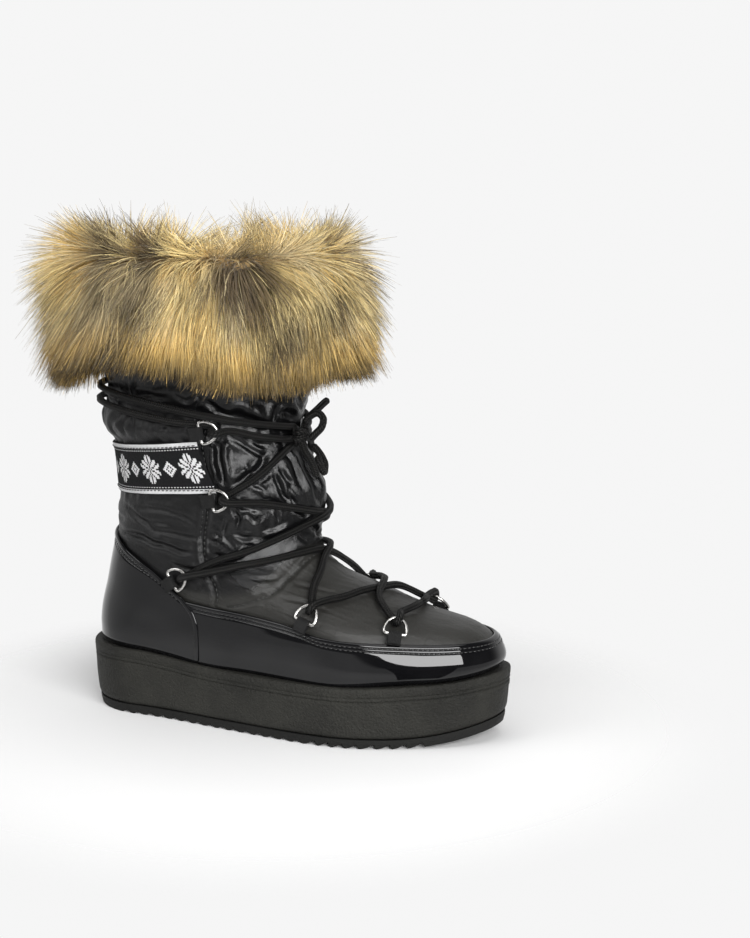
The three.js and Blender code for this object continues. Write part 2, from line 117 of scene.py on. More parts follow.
def add_piece(name, points, quads, materials, uv=None, attributes=None, which=None, closed=True):
    """A smooth mesh from points in millimetres and quads, turned to face out."""
    points = np.asarray(points, float).reshape(-1, 3)
    centre = points.mean(0)
    if closed and signed_volume(points - centre, quads) < 0:
        quads = quads[:, ::-1]
    mesh = bpy.data.meshes.new(name)
    mesh.vertices.add(len(points))
    mesh.vertices.foreach_set("co", to_frame(points).astype(np.float32).ravel())
    mesh.loops.add(quads.size)
    mesh.loops.foreach_set("vertex_index", quads.astype(np.int32).ravel())
    mesh.polygons.add(len(quads))
    mesh.polygons.foreach_set("loop_start", np.arange(0, quads.size, 4, dtype=np.int32))
    mesh.polygons.foreach_set("use_smooth", np.ones(len(quads), bool))
    for material in materials:
        mesh.materials.append(material)
    if which is not None:
        mesh.polygons.foreach_set("material_index", np.asarray(which, np.int32))
    if uv is not None:
        layer = mesh.uv_layers.new(name="pattern")
        layer.data.foreach_set("uv", np.asarray(uv, np.float32).reshape(-1, 2)[quads.ravel()].ravel())
    for key, values in (attributes or {}).items():
        values = np.asarray(values, np.float32)
        if values.ndim == 2:
            layer = mesh.attributes.new(key, "FLOAT_COLOR", "POINT")
            rgba = np.concatenate([values, np.ones((len(values), 1), np.float32)], 1)
            layer.data.foreach_set("color", rgba.ravel())
        else:
            layer = mesh.attributes.new(key, "FLOAT", "POINT")
            layer.data.foreach_set("value", values.ravel())
    mesh.update(calc_edges=True)
    piece = bpy.data.objects.new(name, mesh)
    bpy.context.scene.collection.objects.link(piece)
    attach(piece, "root")
    print(name, len(quads) * 2, "triangles")
    return piece


# %% [markdown]
# The last is the form that a boot is made over. Each closed section lies on a
# plane through a point on the heel's back and one on the toe or shin, and its
# width comes from the heel, waist, ball and toe. Reading the same short table
# as the solids do keeps every skin, strap and stitch on the boot's surface.

# %% The last
def ease(v):
    """0 below 0, 1 above 1, and a smooth S between."""
    v = np.clip(v, 0, 1)
    return v * v * (3 - 2 * v)


def read(table, at, column):
    """Column of a table at a value of its first column.

    A cubic runs through the rows; its slope at a row is the harmonic mean of
    the slopes on both sides, or 0 at a turn, so it never overshoots."""
    x = table[:, 0]
    y = table[:, column]
    secant = np.diff(y) / np.diff(x)
    a, b = secant[:-1], secant[1:]
    mean = np.where(a * b > 0, 2 * a * b / np.where(a + b == 0, 1, a + b), 0)
    slope = np.concatenate([secant[:1], mean, secant[-1:]])
    at = np.clip(at, x[0], x[-1])
    i = np.clip(np.searchsorted(x, at, side="left") - 1, 0, len(x) - 2)
    run = x[i + 1] - x[i]
    t = (at - x[i]) / run
    return ((2 * t**3 - 3 * t**2 + 1) * y[i] + (t**3 - 2 * t**2 + t) * run * slope[i]
            + (3 * t**2 - 2 * t**3) * y[i + 1] + (t**3 - t**2) * run * slope[i + 1])


SOLE_LENGTH = 275.0
FEATHER, COLLAR = 40.0, 262.0
RIM = np.array([(-5, 41.9), (30, 43.0), (110, 38.7), (190, 38.0), (240, 40.0), (280, 44.7)])
# station, outer half width, inner half width
SOLE_WIDTH = np.array([
    (0, 39.3, 39.3), (45, 39.3, 39.3), (115, 46.5, 36.0),
    (185, 53.2, 50.0), (235, 46.2, 44.0), (275, 42.2, 40.0)])
# height, back, front height, front, heel round, toe round, toe power,
# half widths: heel, outer and inner waist, outer and inner ball, outer and inner toe
SECTIONS = np.array([
    (40, 4.5, 41, 268, 40, 88, 2.3, 36.5, 43, 34, 50, 47, 42.5, 41),
    (52, 4.5, 50, 270, 40, 88, 2.3, 37.5, 44, 35, 51, 48, 43.5, 42),
    (62, 5.5, 60, 268, 40, 86, 2.3, 38, 44, 36, 51, 48, 42.5, 41),
    (71, 7.5, 68, 257, 41, 84, 2.3, 38.5, 44, 37, 49, 46, 38, 37),
    (80, 10, 76, 229, 42, 80, 2.2, 39, 44, 38, 45, 43, 32, 32),
    (90, 12, 86, 200, 43, 76, 2.1, 39.5, 43, 38, 40, 39, 28, 28),
    (101, 14.5, 97, 172, 45, 74, 2, 40, 42, 38.5, 36, 35, 24, 24),
    (112, 17, 109, 158, 50, 72, 2, 40.5, 41.5, 39, 32, 32, 20, 20),
    (122, 19, 120, 154.5, 56, 70, 2, 41.5, 41.5, 40, 30, 30, 20, 20),
    (133, 19.5, 132, 157, 60, 68, 2, 42.5, 42.5, 41.5, 30, 30, 20, 20),
    (146, 19.5, 146, 157.5, 62, 68, 2, 44, 44, 43, 30, 30, 20, 20),
    (160, 18.5, 160, 151, 64, 66, 2, 45, 45.5, 45, 30, 30, 20, 20),
    (178, 14.5, 178, 142.5, 65, 65, 2, 46, 47, 46.5, 30, 30, 20, 20),
    (196, 11.5, 196, 143.5, 66, 66, 2, 47.5, 48, 47.5, 30, 30, 20, 20),
    (212, 12.5, 212, 149, 66, 66, 2, 48, 49, 48.5, 30, 30, 20, 20),
    (232, 12, 232, 153, 68, 68, 2, 49, 50, 49.5, 30, 30, 20, 20),
    (262, 11, 262, 155, 70, 70, 2, 50.5, 51.5, 51, 30, 30, 20, 20)])
WIDTH_STATIONS = (45, 115, 185, 235)


def spring(station):
    """Rise of the sole's underside towards the toe: a parabola past station 215."""
    return 10.4 * np.clip((station - 215) / 60, 0, 1) ** 2


def swing(station):
    """How far the middle line bends to the inner side towards the toe."""
    return 12.3 * np.clip((station - 120) / 155, 0, 1) ** 2


def round_ends(from_back, from_front, heel_round, toe_round, power):
    """Share of the full width: an ellipse at the heel, a squarer one at the toe."""
    heel = np.sqrt(1 - (1 - np.clip(from_back / heel_round, 0, 1)) ** 2)
    toe = (1 - (1 - np.clip(from_front / toe_round, 0, 1)) ** power) ** (1 / power)
    return heel * toe


def form(angle, height):
    """Point of the last at an angle in degrees, 0 at the toe and 90 on the
    outer side, and a height up the back.

    The station runs as the cosine of the angle between back and front, the
    half width is eased from heel to waist, ball and toe and closed by the round
    ends, and the lowest rows bend down to the platform's rim."""
    angle, height = np.broadcast_arrays(np.asarray(angle, float), np.asarray(height, float))
    row = [read(SECTIONS, height, k) for k in range(1, 14)]
    back, front_height, front, heel_round, toe_round, power = row[:6]
    turn = (1 + np.cos(np.radians(angle))) / 2
    x = back + (front - back) * turn
    outer = np.sin(np.radians(angle)) >= 0
    widths = [row[6]] + [np.where(outer, row[k], row[k + 1]) for k in (7, 9, 11)]
    half = widths[0]
    for i in range(3):
        run = WIDTH_STATIONS[i + 1] - WIDTH_STATIONS[i]
        half = half + (widths[i + 1] - widths[i]) * ease((x - WIDTH_STATIONS[i]) / run)
    half = half * round_ends(x - back, front - x, heel_round, toe_round, power)
    y = swing(x) * np.clip((front - 120) / 150, 0, 1) + np.where(outer, -half, half)
    level = height + (front_height - height) * turn
    seat = read(RIM, x, 1) + 0.3 - (FEATHER + turn)
    z = level + seat * (1 - ease((height - FEATHER) / 22))
    return np.stack([x, y, z], -1)


def unit(v):
    """Vectors scaled to length one."""
    return v / np.maximum(np.linalg.norm(v, axis=-1, keepdims=True), 1e-12)


def outward(angle, height):
    """Unit normal of the last: the rise up the surface crossed with its run round."""
    around = form(angle + 1, height) - form(angle - 1, height)
    low = np.maximum(FEATHER, np.asarray(height, float) - 1.5)
    high = np.minimum(COLLAR, np.asarray(height, float) + 1.5)
    up = form(angle, high) - form(angle, low)
    normal = unit(np.cross(up, around))
    level = 1 - ease((np.asarray(height, float) - FEATHER) / 8)
    normal[..., 2] *= 1 - level
    return unit(normal)


def on_form(angle, height, out):
    """Point of the last moved out along its normal."""
    angle, height, out = np.broadcast_arrays(np.asarray(angle, float), height, out)
    return form(angle, height) + outward(angle, height) * out[..., None]


print("toe at", form(0, 52.0).round(1), "shin at", form(0, 178.0).round(1))

# %% [markdown]
# The lace is one braided cord: over the toe, crossed three times on its way up
# and tied at the shin, with two turns round the shaft. Its free parts, the two
# loops and two ends of the bow, follow the same routes as the solids.

# %% Lace routes
LACE_RADIUS = 2.15
LACE_LIFT = 3.4
KNOT_AT = on_form(15.0, 182.0, 11.0)

# out from the shin, across to the outer side, and up, from the knot's middle
BOW = {
    "lace_loop_outer": [(4, 3, 8.8), (8, 2.5, 13), (13, 3, 15), (17, 4, 12), (16.5, 5.5, 7),
                        (12.5, 6.5, 2.5), (9.5, 7, -1)],
    "lace_loop_inner": [(4, -7.5, -6), (8, -9, -11), (12, -8.5, -17), (13.5, -4.5, -22),
                        (12.5, -1, -17), (10.5, -1, -11)],
    "lace_end_outer": [(0, 0, 0), (2.5, 3, -4), (5, 5, -8), (9, 7, -12), (13, 9, -17), (15.5, 10, -23)],
    "lace_end_inner": [(0, -1, 0), (1, -3, 4.5), (2, -4, 8.8), (5, -5, 12.5), (9, -5, 16), (13, -4, 19.5),
                       (17.5, -2.5, 23)],
}


def run_along(route):
    """Distance from the start of a route to each of its points."""
    return np.concatenate([[0], np.cumsum(np.linalg.norm(np.diff(route, axis=0), axis=1))])


def smooth_route(points, step):
    """Even points along a centripetal Catmull-Rom curve through given ones."""
    points = np.asarray(points, float)
    apart = np.linalg.norm(np.diff(points, axis=0), axis=1) > 0.05
    points = points[np.concatenate([[True], apart])]
    ends = [2 * points[0] - points[1]], [2 * points[-1] - points[-2]]
    p = np.concatenate([ends[0], points, ends[1]])
    knots = np.concatenate([[0], np.cumsum(np.linalg.norm(np.diff(p, axis=0), axis=1) ** 0.5)])
    i = np.repeat(np.arange(1, len(p) - 2), 24)
    t = knots[i] + (knots[i + 1] - knots[i]) * np.tile(np.arange(24) / 24, len(p) - 3)

    def blend(a, b, ka, kb):
        w = ((t - ka) / (kb - ka))[:, None]
        return a * (1 - w) + b * w
    k0, k1, k2, k3 = knots[i - 1], knots[i], knots[i + 1], knots[i + 2]
    a1 = blend(p[i - 1], p[i], k0, k1)
    a2 = blend(p[i], p[i + 1], k1, k2)
    a3 = blend(p[i + 1], p[i + 2], k2, k3)
    dense = blend(blend(a1, a2, k0, k2), blend(a2, a3, k1, k3), k1, k2)
    dense = np.concatenate([dense, points[-1:]])
    run = run_along(dense)
    even = np.linspace(0, run[-1], max(4, int(run[-1] / step) + 1))
    return np.stack([np.interp(even, run, dense[:, k]) for k in range(3)], -1)


def route_length(route):
    """Sum of a route's steps."""
    return float(np.linalg.norm(np.diff(route, axis=0), axis=1).sum())


def from_knot(points):
    """Bow points, out and across and up from the knot, as stations."""
    points = np.asarray(points, float)
    return KNOT_AT + points * (1, -1, 1)


BOW_ROUTES = {name: smooth_route(from_knot(points), 0.9) for name, points in BOW.items()}
for name, route in BOW_ROUTES.items():
    print(name, round(route_length(route), 1), "mm")

# %% [markdown]
# The free parts of the lace are the first pieces to be made. A cord can
# be a bevelled curve, but a braid needs a section of its own, so each one is a
# mesh tube: a small lobed section carried along the route without twisting.

# %% Braided tubes
BOW_AROUND, LACING_AROUND = 18, 14
BRAID_PITCH = 4.6
BRAID_LOBES = 0.09


def frames(route, upwards):
    """Tangents of a route and two normals, the first nearest to upwards."""
    tangent = unit(np.gradient(route, axis=0))
    upwards = np.broadcast_to(np.asarray(upwards, float), route.shape)
    side = unit(np.cross(tangent, upwards))
    return tangent, np.cross(side, tangent), side


def tube(route, upwards, around):
    """Points and pattern coordinates of a round cord along a route.

    Each ring is route + r (cos t * normal + sin t * side), with r made slightly
    larger at six lobes; the two rings at either end shrink to close the tips."""
    _, normal, side = frames(route, upwards)
    t = 2 * np.pi * (np.arange(around) + 0.5) / around
    r = LACE_RADIUS * (1 + BRAID_LOBES * np.cos(6 * t))
    size = np.ones(len(route))
    size[[0, -1]] = 0.05
    size[[1, -2]] = 0.75
    ring = normal[:, None] * np.cos(t)[:, None] + side[:, None] * np.sin(t)[:, None]
    points = route[:, None] + ring * (size[:, None] * r)[..., None]
    uv = np.stack(np.broadcast_arrays(t / (2 * np.pi), run_along(route)[:, None] / BRAID_PITCH), -1)
    return points, uv


def join(parts):
    """One mesh from several (points, quads, uv): indices shifted and stacked."""
    shift = np.cumsum([0] + [len(p.reshape(-1, 3)) for p, _, _ in parts[:-1]])
    points = np.concatenate([p.reshape(-1, 3) for p, _, _ in parts])
    quads = np.concatenate([q + s for (_, q, _), s in zip(parts, shift)])
    uv = np.concatenate([u.reshape(-1, 2) for _, _, u in parts])
    return points, quads, uv


def outward_quads(points, quads):
    """The quads of one closed body, turned to face out."""
    flat = points.reshape(-1, 3)
    return quads[:, ::-1] if signed_volume(flat - flat.mean(0), quads) < 0 else quads


def cord_body(route, upwards, around):
    """A closed cord as one part for join()."""
    points, uv = tube(route, upwards, around)
    quads = np.concatenate([grid_faces(len(route), around, close_columns=True),
                            end_faces(len(route), around)])
    return points, outward_quads(points, quads), uv


# %% [markdown]
# Finishes are node trees. To keep them short, one helper starts a material with
# its principled shader and others add a node and link its sockets by name.

# %% Node helpers
def material(name, colour, roughness, **sockets):
    """A material whose principled shader has these plain values."""
    made = bpy.data.materials.new(name)
    made.use_nodes = True
    made.diffuse_color = (*colour, 1)
    shader = made.node_tree.nodes["Principled BSDF"]
    shader.inputs["Base Color"].default_value = (*colour, 1)
    shader.inputs["Roughness"].default_value = roughness
    for key, value in sockets.items():
        shader.inputs[key.replace("_", " ")].default_value = value
    return made


def node(made, kind, settings=None, **inputs):
    """A node with its settings; an input is a value or another node's socket."""
    new = made.node_tree.nodes.new(kind)
    for key, value in (settings or {}).items():
        setattr(new, key, value)
    for key, value in inputs.items():
        socket = new.inputs[int(key[1:])] if key[0] == "i" and key[1:].isdigit() else new.inputs[key]
        if isinstance(value, bpy.types.NodeSocket):
            made.node_tree.links.new(value, socket)
        else:
            socket.default_value = value
    return new


def calc(made, operation, *values):
    """A math node on values or sockets."""
    inputs = {f"i{k}": value for k, value in enumerate(values)}
    return node(made, "ShaderNodeMath", {"operation": operation}, **inputs).outputs[0]


def spread(made, value, low, high, to_low, to_high, shape="LINEAR"):
    """A value stretched from one range to another."""
    stretch = node(made, "ShaderNodeMapRange", {"interpolation_type": shape}, Value=value)
    for key, number in zip(("From Min", "From Max", "To Min", "To Max"), (low, high, to_low, to_high)):
        stretch.inputs[key].default_value = number
    return stretch.outputs[0]


def place_of(made):
    """Object coordinates, in metres."""
    return node(made, "ShaderNodeTexCoord").outputs["Object"]


def pattern_of(made):
    """The piece's own pattern map, split into across and along."""
    uv = node(made, "ShaderNodeUVMap", {"uv_map": "pattern"}).outputs[0]
    split = node(made, "ShaderNodeSeparateXYZ", None, Vector=uv)
    return split.outputs[0], split.outputs[1]


def noise(made, vector, scale, detail=3.0, roughness=0.55):
    """Fractal noise at so many features a metre."""
    return node(made, "ShaderNodeTexNoise", None, Vector=vector, Scale=scale,
                Detail=detail, Roughness=roughness).outputs[0]


def attribute(made, name, output="Fac"):
    """A value or colour kept on the mesh."""
    return node(made, "ShaderNodeAttribute", {"attribute_name": name}).outputs[output]


def ramp(made, value, stops):
    """Colours at positions along 0 to 1."""
    new = node(made, "ShaderNodeValToRGB", None, Fac=value)
    while len(new.color_ramp.elements) < len(stops):
        new.color_ramp.elements.new(0.5)
    for element, (at, colour) in zip(new.color_ramp.elements, stops):
        element.position = at
        element.color = (*colour, 1)
    return new.outputs[0]


def bump(made, height, distance, strength=1.0, before=None):
    """Relief from a height, so many metres deep."""
    inputs = {"Height": height, "Distance": distance, "Strength": strength}
    if before is not None:
        inputs["Normal"] = before
    return node(made, "ShaderNodeBump", None, **inputs).outputs[0]


def wire(made, **sockets):
    """Links sockets to the principled shader."""
    shader = made.node_tree.nodes["Principled BSDF"]
    for key, value in sockets.items():
        made.node_tree.links.new(value, shader.inputs[key.replace("_", " ")])


# %% [markdown]
# The braid is sixteen fine yarns that cross on the slant. Drawn as geometry it
# would be far too heavy, so a herringbone is worked out from the cord's own
# pattern map: the slant turns over six times round the cord, and the height
# goes to both the relief and the colour of the yarns, where it is painted shade
# in the grooves between yarns and a painted highlight on their crowns.

# %% Lace finish
def lace_finish():
    """height = |sin| of (along + zigzag of across), which is a herringbone."""
    made = material("lace_braid", (0.008, 0.008, 0.009), 0.48, Specular_IOR_Level=0.2)
    across, along = pattern_of(made)
    zigzag = calc(made, "PINGPONG", calc(made, "MULTIPLY", across, 6.0), 1.0)
    phase = calc(made, "ADD", calc(made, "MULTIPLY", along, 3.0), zigzag)
    yarn = calc(made, "ABSOLUTE", calc(made, "SINE", calc(made, "MULTIPLY", phase, math.pi)))
    rib = calc(made, "ABSOLUTE", calc(made, "SINE", calc(made, "MULTIPLY", across, 6 * math.pi)))
    height = calc(made, "MULTIPLY", calc(made, "POWER", yarn, 0.6), calc(made, "ADD", rib, 0.45))
    fluff = noise(made, place_of(made), 2600.0, 2.0)
    shade = calc(made, "MULTIPLY", height, calc(made, "ADD", fluff, 0.4))
    # Painted shade and highlight: the colour follows the yarns' height, near black in the grooves and lighter
    # on the crowns.
    colour = ramp(made, shade, [(0.0, (0.001, 0.001, 0.001)), (0.5, (0.0025, 0.0025, 0.0025)),
                                (1.0, (0.020, 0.0195, 0.0185))])
    wire(made, Base_Color=colour, Roughness=spread(made, fluff, 0.3, 0.7, 0.42, 0.7),
         Normal=bump(made, height, 0.0009, 1.0))
    return made


LACE = lace_finish()

# %% The bow
for name, route in BOW_ROUTES.items():
    upwards = (0.05, 0.1, 1.0) if "loop" in name else (0.0, 1.0, 0.1)
    points, quads, uv = cord_body(route, upwards, BOW_AROUND)
    piece = add_piece(name.replace("lace", "bow"), points, quads, [LACE], uv)
    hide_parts(name)

# %% [markdown]
# Studio: a pale floor that fades into a pale surround, one big soft light
# overhead, a tall softbox by the camera for the crisp white shape on the patent
# toe, and a weak fill. A black card below the softbox is seen only in
# reflections, where it gives the gloss a dark edge.

# %% Floor and lights
SURROUND = 0.92
FLOOR_CENTRE, FLOOR_COLUMNS = (0.09, 0.0), 96
FLOOR_FADES_FROM, FLOOR_GONE_AT = 0.15, 0.29
CARD_CENTRE, CARD_COLUMNS, CARD_LIFT = (0.175, -0.01), 12, 0.0005
AIM = (0.09, 0.0, 0.12)
AWAY_FROM_CAMERA = (-0.39, 0.92, -0.25)
# azimuth and elevation in degrees, distance and size in metres, watts
SOFTBOXES = {
    "overhead": (10, 78, 1.7, (1.9, 1.9), 18),
    "key": (46, 17, 1.5, (1.05, 0.75), 34),
    "fill": (-48, 32, 1.9, (1.2, 1.2), 13),
}


def flat_sheet(name, xy, height, faces, finish):
    """A flat sheet of the studio, from a grid of places and its faces."""
    points = np.concatenate([xy, np.full((*xy.shape[:2], 1), height)], -1).reshape(-1, 3)
    mesh = bpy.data.meshes.new(name)
    mesh.from_pydata(points.tolist(), [], faces.tolist())
    mesh.materials.append(finish)
    sheet = bpy.data.objects.new(name, mesh)
    bpy.context.scene.collection.objects.link(sheet)
    return sheet


def floor_finish():
    """A pale floor that turns clear with the distance from the boot."""
    made = material("floor_pale", (0.81, 0.81, 0.81), 0.9, Specular_IOR_Level=0.1)
    far = node(made, "ShaderNodeVectorMath", {"operation": "DISTANCE"}, i0=place_of(made),
               i1=(*FLOOR_CENTRE, 0))
    cover = spread(made, far.outputs["Value"], FLOOR_FADES_FROM, FLOOR_GONE_AT, 1.0, 0.0, "SMOOTHSTEP")
    grain = noise(made, place_of(made), 90.0, 2.0)
    wire(made, Alpha=cover, Roughness=spread(made, grain, 0.3, 0.7, 0.85, 0.95))
    return made


def add_floor():
    """A disc under the boot, with more rings near the middle."""
    rings = np.concatenate([[0.0], np.geomspace(0.1, 3.0, 24)])
    turn = np.linspace(0, 2 * np.pi, FLOOR_COLUMNS, endpoint=False)
    xy = rings[:, None, None] * np.stack([np.cos(turn), np.sin(turn)], -1)[None]
    faces = grid_faces(len(rings), FLOOR_COLUMNS, close_columns=True)
    floor = flat_sheet("floor", xy + FLOOR_CENTRE, 0.0, faces, floor_finish())


def add_card(name, azimuths, reaches):
    """A black sector on the floor, seen by mirror-like rays only."""
    turn = np.radians(np.linspace(*azimuths, CARD_COLUMNS))
    xy = np.array(reaches)[:, None, None] * np.stack([np.sin(turn), -np.cos(turn)], -1)[None]
    black = material("card_black", (0.001, 0.001, 0.001), 1.0, Specular_IOR_Level=0.0)
    card = flat_sheet(name, xy + CARD_CENTRE, CARD_LIFT, grid_faces(2, CARD_COLUMNS), black)
    card.visible_camera = False
    card.visible_diffuse = False
    card.visible_shadow = False


def add_softbox(name, azimuth, elevation, distance, size, watts):
    """A rectangular light at a direction and distance, facing the boot."""
    a, e = math.radians(azimuth), math.radians(elevation)
    back = np.array([math.sin(a) * math.cos(e), -math.cos(a) * math.cos(e), math.sin(e)])
    data = bpy.data.lights.new(name, "AREA")
    data.shape = "RECTANGLE"
    data.size, data.size_y = size
    data.energy = watts
    light = bpy.data.objects.new(name, data)
    light.location = np.array(AIM) + back * distance
    light.rotation_euler = (math.pi / 2 - e, 0, a)
    bpy.context.scene.collection.objects.link(light)
    light.visible_camera = False


def add_surround():
    """A pale surround for the camera; for light, pale behind and dim by the camera."""
    world = bpy.data.worlds.new("surround")
    world.use_nodes = True
    bpy.context.scene.world = world
    direct = node(world, "ShaderNodeTexCoord").outputs["Generated"]
    away = node(world, "ShaderNodeVectorMath", {"operation": "DOT_PRODUCT"}, i0=direct, i1=AWAY_FROM_CAMERA)
    behind = spread(world, away.outputs["Value"], 0.0, 0.7, 0.05, 0.75, "SMOOTHSTEP")
    rise = node(world, "ShaderNodeSeparateXYZ", None, i0=direct).outputs[2]
    ground = spread(world, rise, -0.04, -0.1, 0.0, 0.6)
    seen = node(world, "ShaderNodeLightPath").outputs["Is Camera Ray"]
    most = calc(world, "MAXIMUM", behind, ground)
    level = node(world, "ShaderNodeMix", {"data_type": "FLOAT"}, i0=seen, i2=most, i3=SURROUND)
    background = world.node_tree.nodes["Background"]
    world.node_tree.links.new(level.outputs[0], background.inputs["Strength"])
    background.inputs["Color"].default_value = (1, 1, 1, 1)


add_floor()
add_card("card_low", (22, 58), (0.06, 1.0))
for name, values in SOFTBOXES.items():
    add_softbox(name, *values)
add_surround()
bpy.context.scene.view_settings.view_transform = "Standard"
print("lights:", [light.name for light in bpy.data.lights])

# %% [markdown]
# Soft folds need two tools: noise for the small crumples that nobody places by
# hand, and the distance from every point to a drawn line for seams, laces and
# the main creases. Distances to a whole line come from one matrix product.

# %% Noise and distances
RNG = np.random.default_rng(7)
LATTICE_SIZE = 128
LATTICE = RNG.random((6, LATTICE_SIZE, LATTICE_SIZE))
SIDES = (1, -1)


def soft_noise(u, v, layer=0):
    """Value noise 0 to 1: random lattice values, blended by smooth S curves."""
    i, j = np.floor(u).astype(int), np.floor(v).astype(int)
    s, t = ease(u - i), ease(v - j)
    grid = LATTICE[layer]
    i, i2 = i % LATTICE_SIZE, (i + 1) % LATTICE_SIZE
    j, j2 = j % LATTICE_SIZE, (j + 1) % LATTICE_SIZE
    return (grid[i, j] * (1 - s) + grid[i2, j] * s) * (1 - t) + (grid[i, j2] * (1 - s) + grid[i2, j2] * s) * t


def crumple(u, v, size, stretch, slant, layer):
    """Folded-cloth noise: |2n - 1|, which has sharp valleys between soft domes,
    at two sizes, stretched along a slanted direction."""
    c, s = math.cos(math.radians(slant)), math.sin(math.radians(slant))
    along, across = (u * c + v * s) / stretch, -u * s + v * c
    bend = 1.4 * soft_noise(along / (2.2 * size), across / (2.2 * size), layer)
    big = np.abs(2 * soft_noise(along / size + bend, across / size + bend, layer) - 1)
    small = np.abs(2 * soft_noise(along / (0.45 * size) - bend, across / (0.45 * size) + 9, layer) - 1)
    return big + 0.4 * small - 0.55


def near_line(points, line):
    """Distance from each point to the nearest of a line's, and how far along it is."""
    flat = points.reshape(-1, 3)
    square = (flat**2).sum(1)[:, None] + (line**2).sum(1)[None] - 2 * flat @ line.T
    nearest = square.argmin(1)
    far = np.sqrt(np.maximum(square[np.arange(len(flat)), nearest], 0))
    return far.reshape(points.shape[:-1]), run_along(line)[nearest].reshape(points.shape[:-1])


def even_route(route, side, shift=0.0, step=0.8):
    """Even (angle, height) points along a route, mirrored where side is -1."""
    route = np.array(route, float)
    return smooth_route(np.stack([side * route[:, 0] + shift, route[:, 1], 0 * route[:, 0]], -1), step)


def drawn(route, side, step):
    """A smooth line on the last through (angle, height) pairs."""
    even = even_route(route, side)
    return smooth_route(form(even[:, 0], even[:, 1]), step)


# %% Seams and lace routes by angle and height
MUDGUARD_TOP = np.array([(0, 65.5), (40, 66), (70, 69), (80, 75), (110, 80)])
COUNTER_TOP = np.array([(0, 115.5), (30, 111.5), (50, 105), (62, 97), (70, 81)])
BAND_EDGES = np.array([(0, 140, 170), (40, 141, 172), (74, 144.5, 175.5), (106, 147.5, 179.5)])
SEAM_ANGLE, BAND_ANGLE = 110.0, 74.0
SIDE_SEAM = [(69, 190), (72, 179), (79.5, 146), (84.5, 105), (91, 90), (98, 80)]
VAMP_SEAM = [(94, 79), (76, 87), (58, 95), (40, 103), (26, 108), (12, 111), (0, 112)]
LACES = {
    "toe_bar": [(35, 80), (26, 80.5), (13, 82), (0, 82.5), (-13, 82), (-26, 80.5), (-35, 80)],
    "low": [(54, 86.5), (47, 87.5), (38, 88.8), (22, 91), (2, 91.5), (-20, 87.5), (-36, 82.5)],
    "middle": [(94, 97.5), (80, 102), (65, 105.8), (48, 108.8), (28, 112), (4, 112.5),
               (-12, 107.5), (-25, 102), (-44, 93.5), (-54, 88.5)],
    "high": [(93, 104), (77, 107.5), (57, 114.8), (39, 122), (23, 128.6), (7, 133),
             (-12, 135.5), (-35, 139.8), (-52, 143), (-60, 144.3)],
    "riser": [(62, 150), (52, 156), (40, 163), (26, 170), (14, 175.5), (0, 178)],
    "wrap_front": [(56, 186.5), (38, 182.2), (21, 179.5), (0, 178)],
    "wrap_upper": [(11, 186), (42, 190.5), (70, 196), (97, 201), (134, 205.5), (180, 207)],
    "wrap_lower": [(84, 191), (97, 193), (134, 197), (180, 198.5)],
}
# angle and height of each ring, and how far its bow leans forward from upright
RINGS = [(46, 71, 12), (68, 77, 18), (107, 92, 55), (76, 144, 80), (71, 185, 80)]
RING_LIFT = 3.0


def edge_line(table, column, angles):
    """Points along an edge whose table is by angle from the heel's middle."""
    return form(angles, read(table, np.abs(180 - angles), column))


BACK_HALF = np.linspace(SEAM_ANGLE, 360 - SEAM_ANGLE, 240)
BAND_HALF = np.linspace(BAND_ANGLE, 360 - BAND_ANGLE, 300)
FRONT_HALF = np.linspace(-SEAM_ANGLE, SEAM_ANGLE, 420)
MUDGUARD_LINE = form(FRONT_HALF, read(MUDGUARD_TOP, np.abs(FRONT_HALF), 1))
COUNTER_LINE = edge_line(COUNTER_TOP, 1, BACK_HALF)
LACE_LINES = np.concatenate([drawn(route, side, 2.0) for route in LACES.values() for side in SIDES])
print("lace points pressing on the nylon:", len(LACE_LINES))
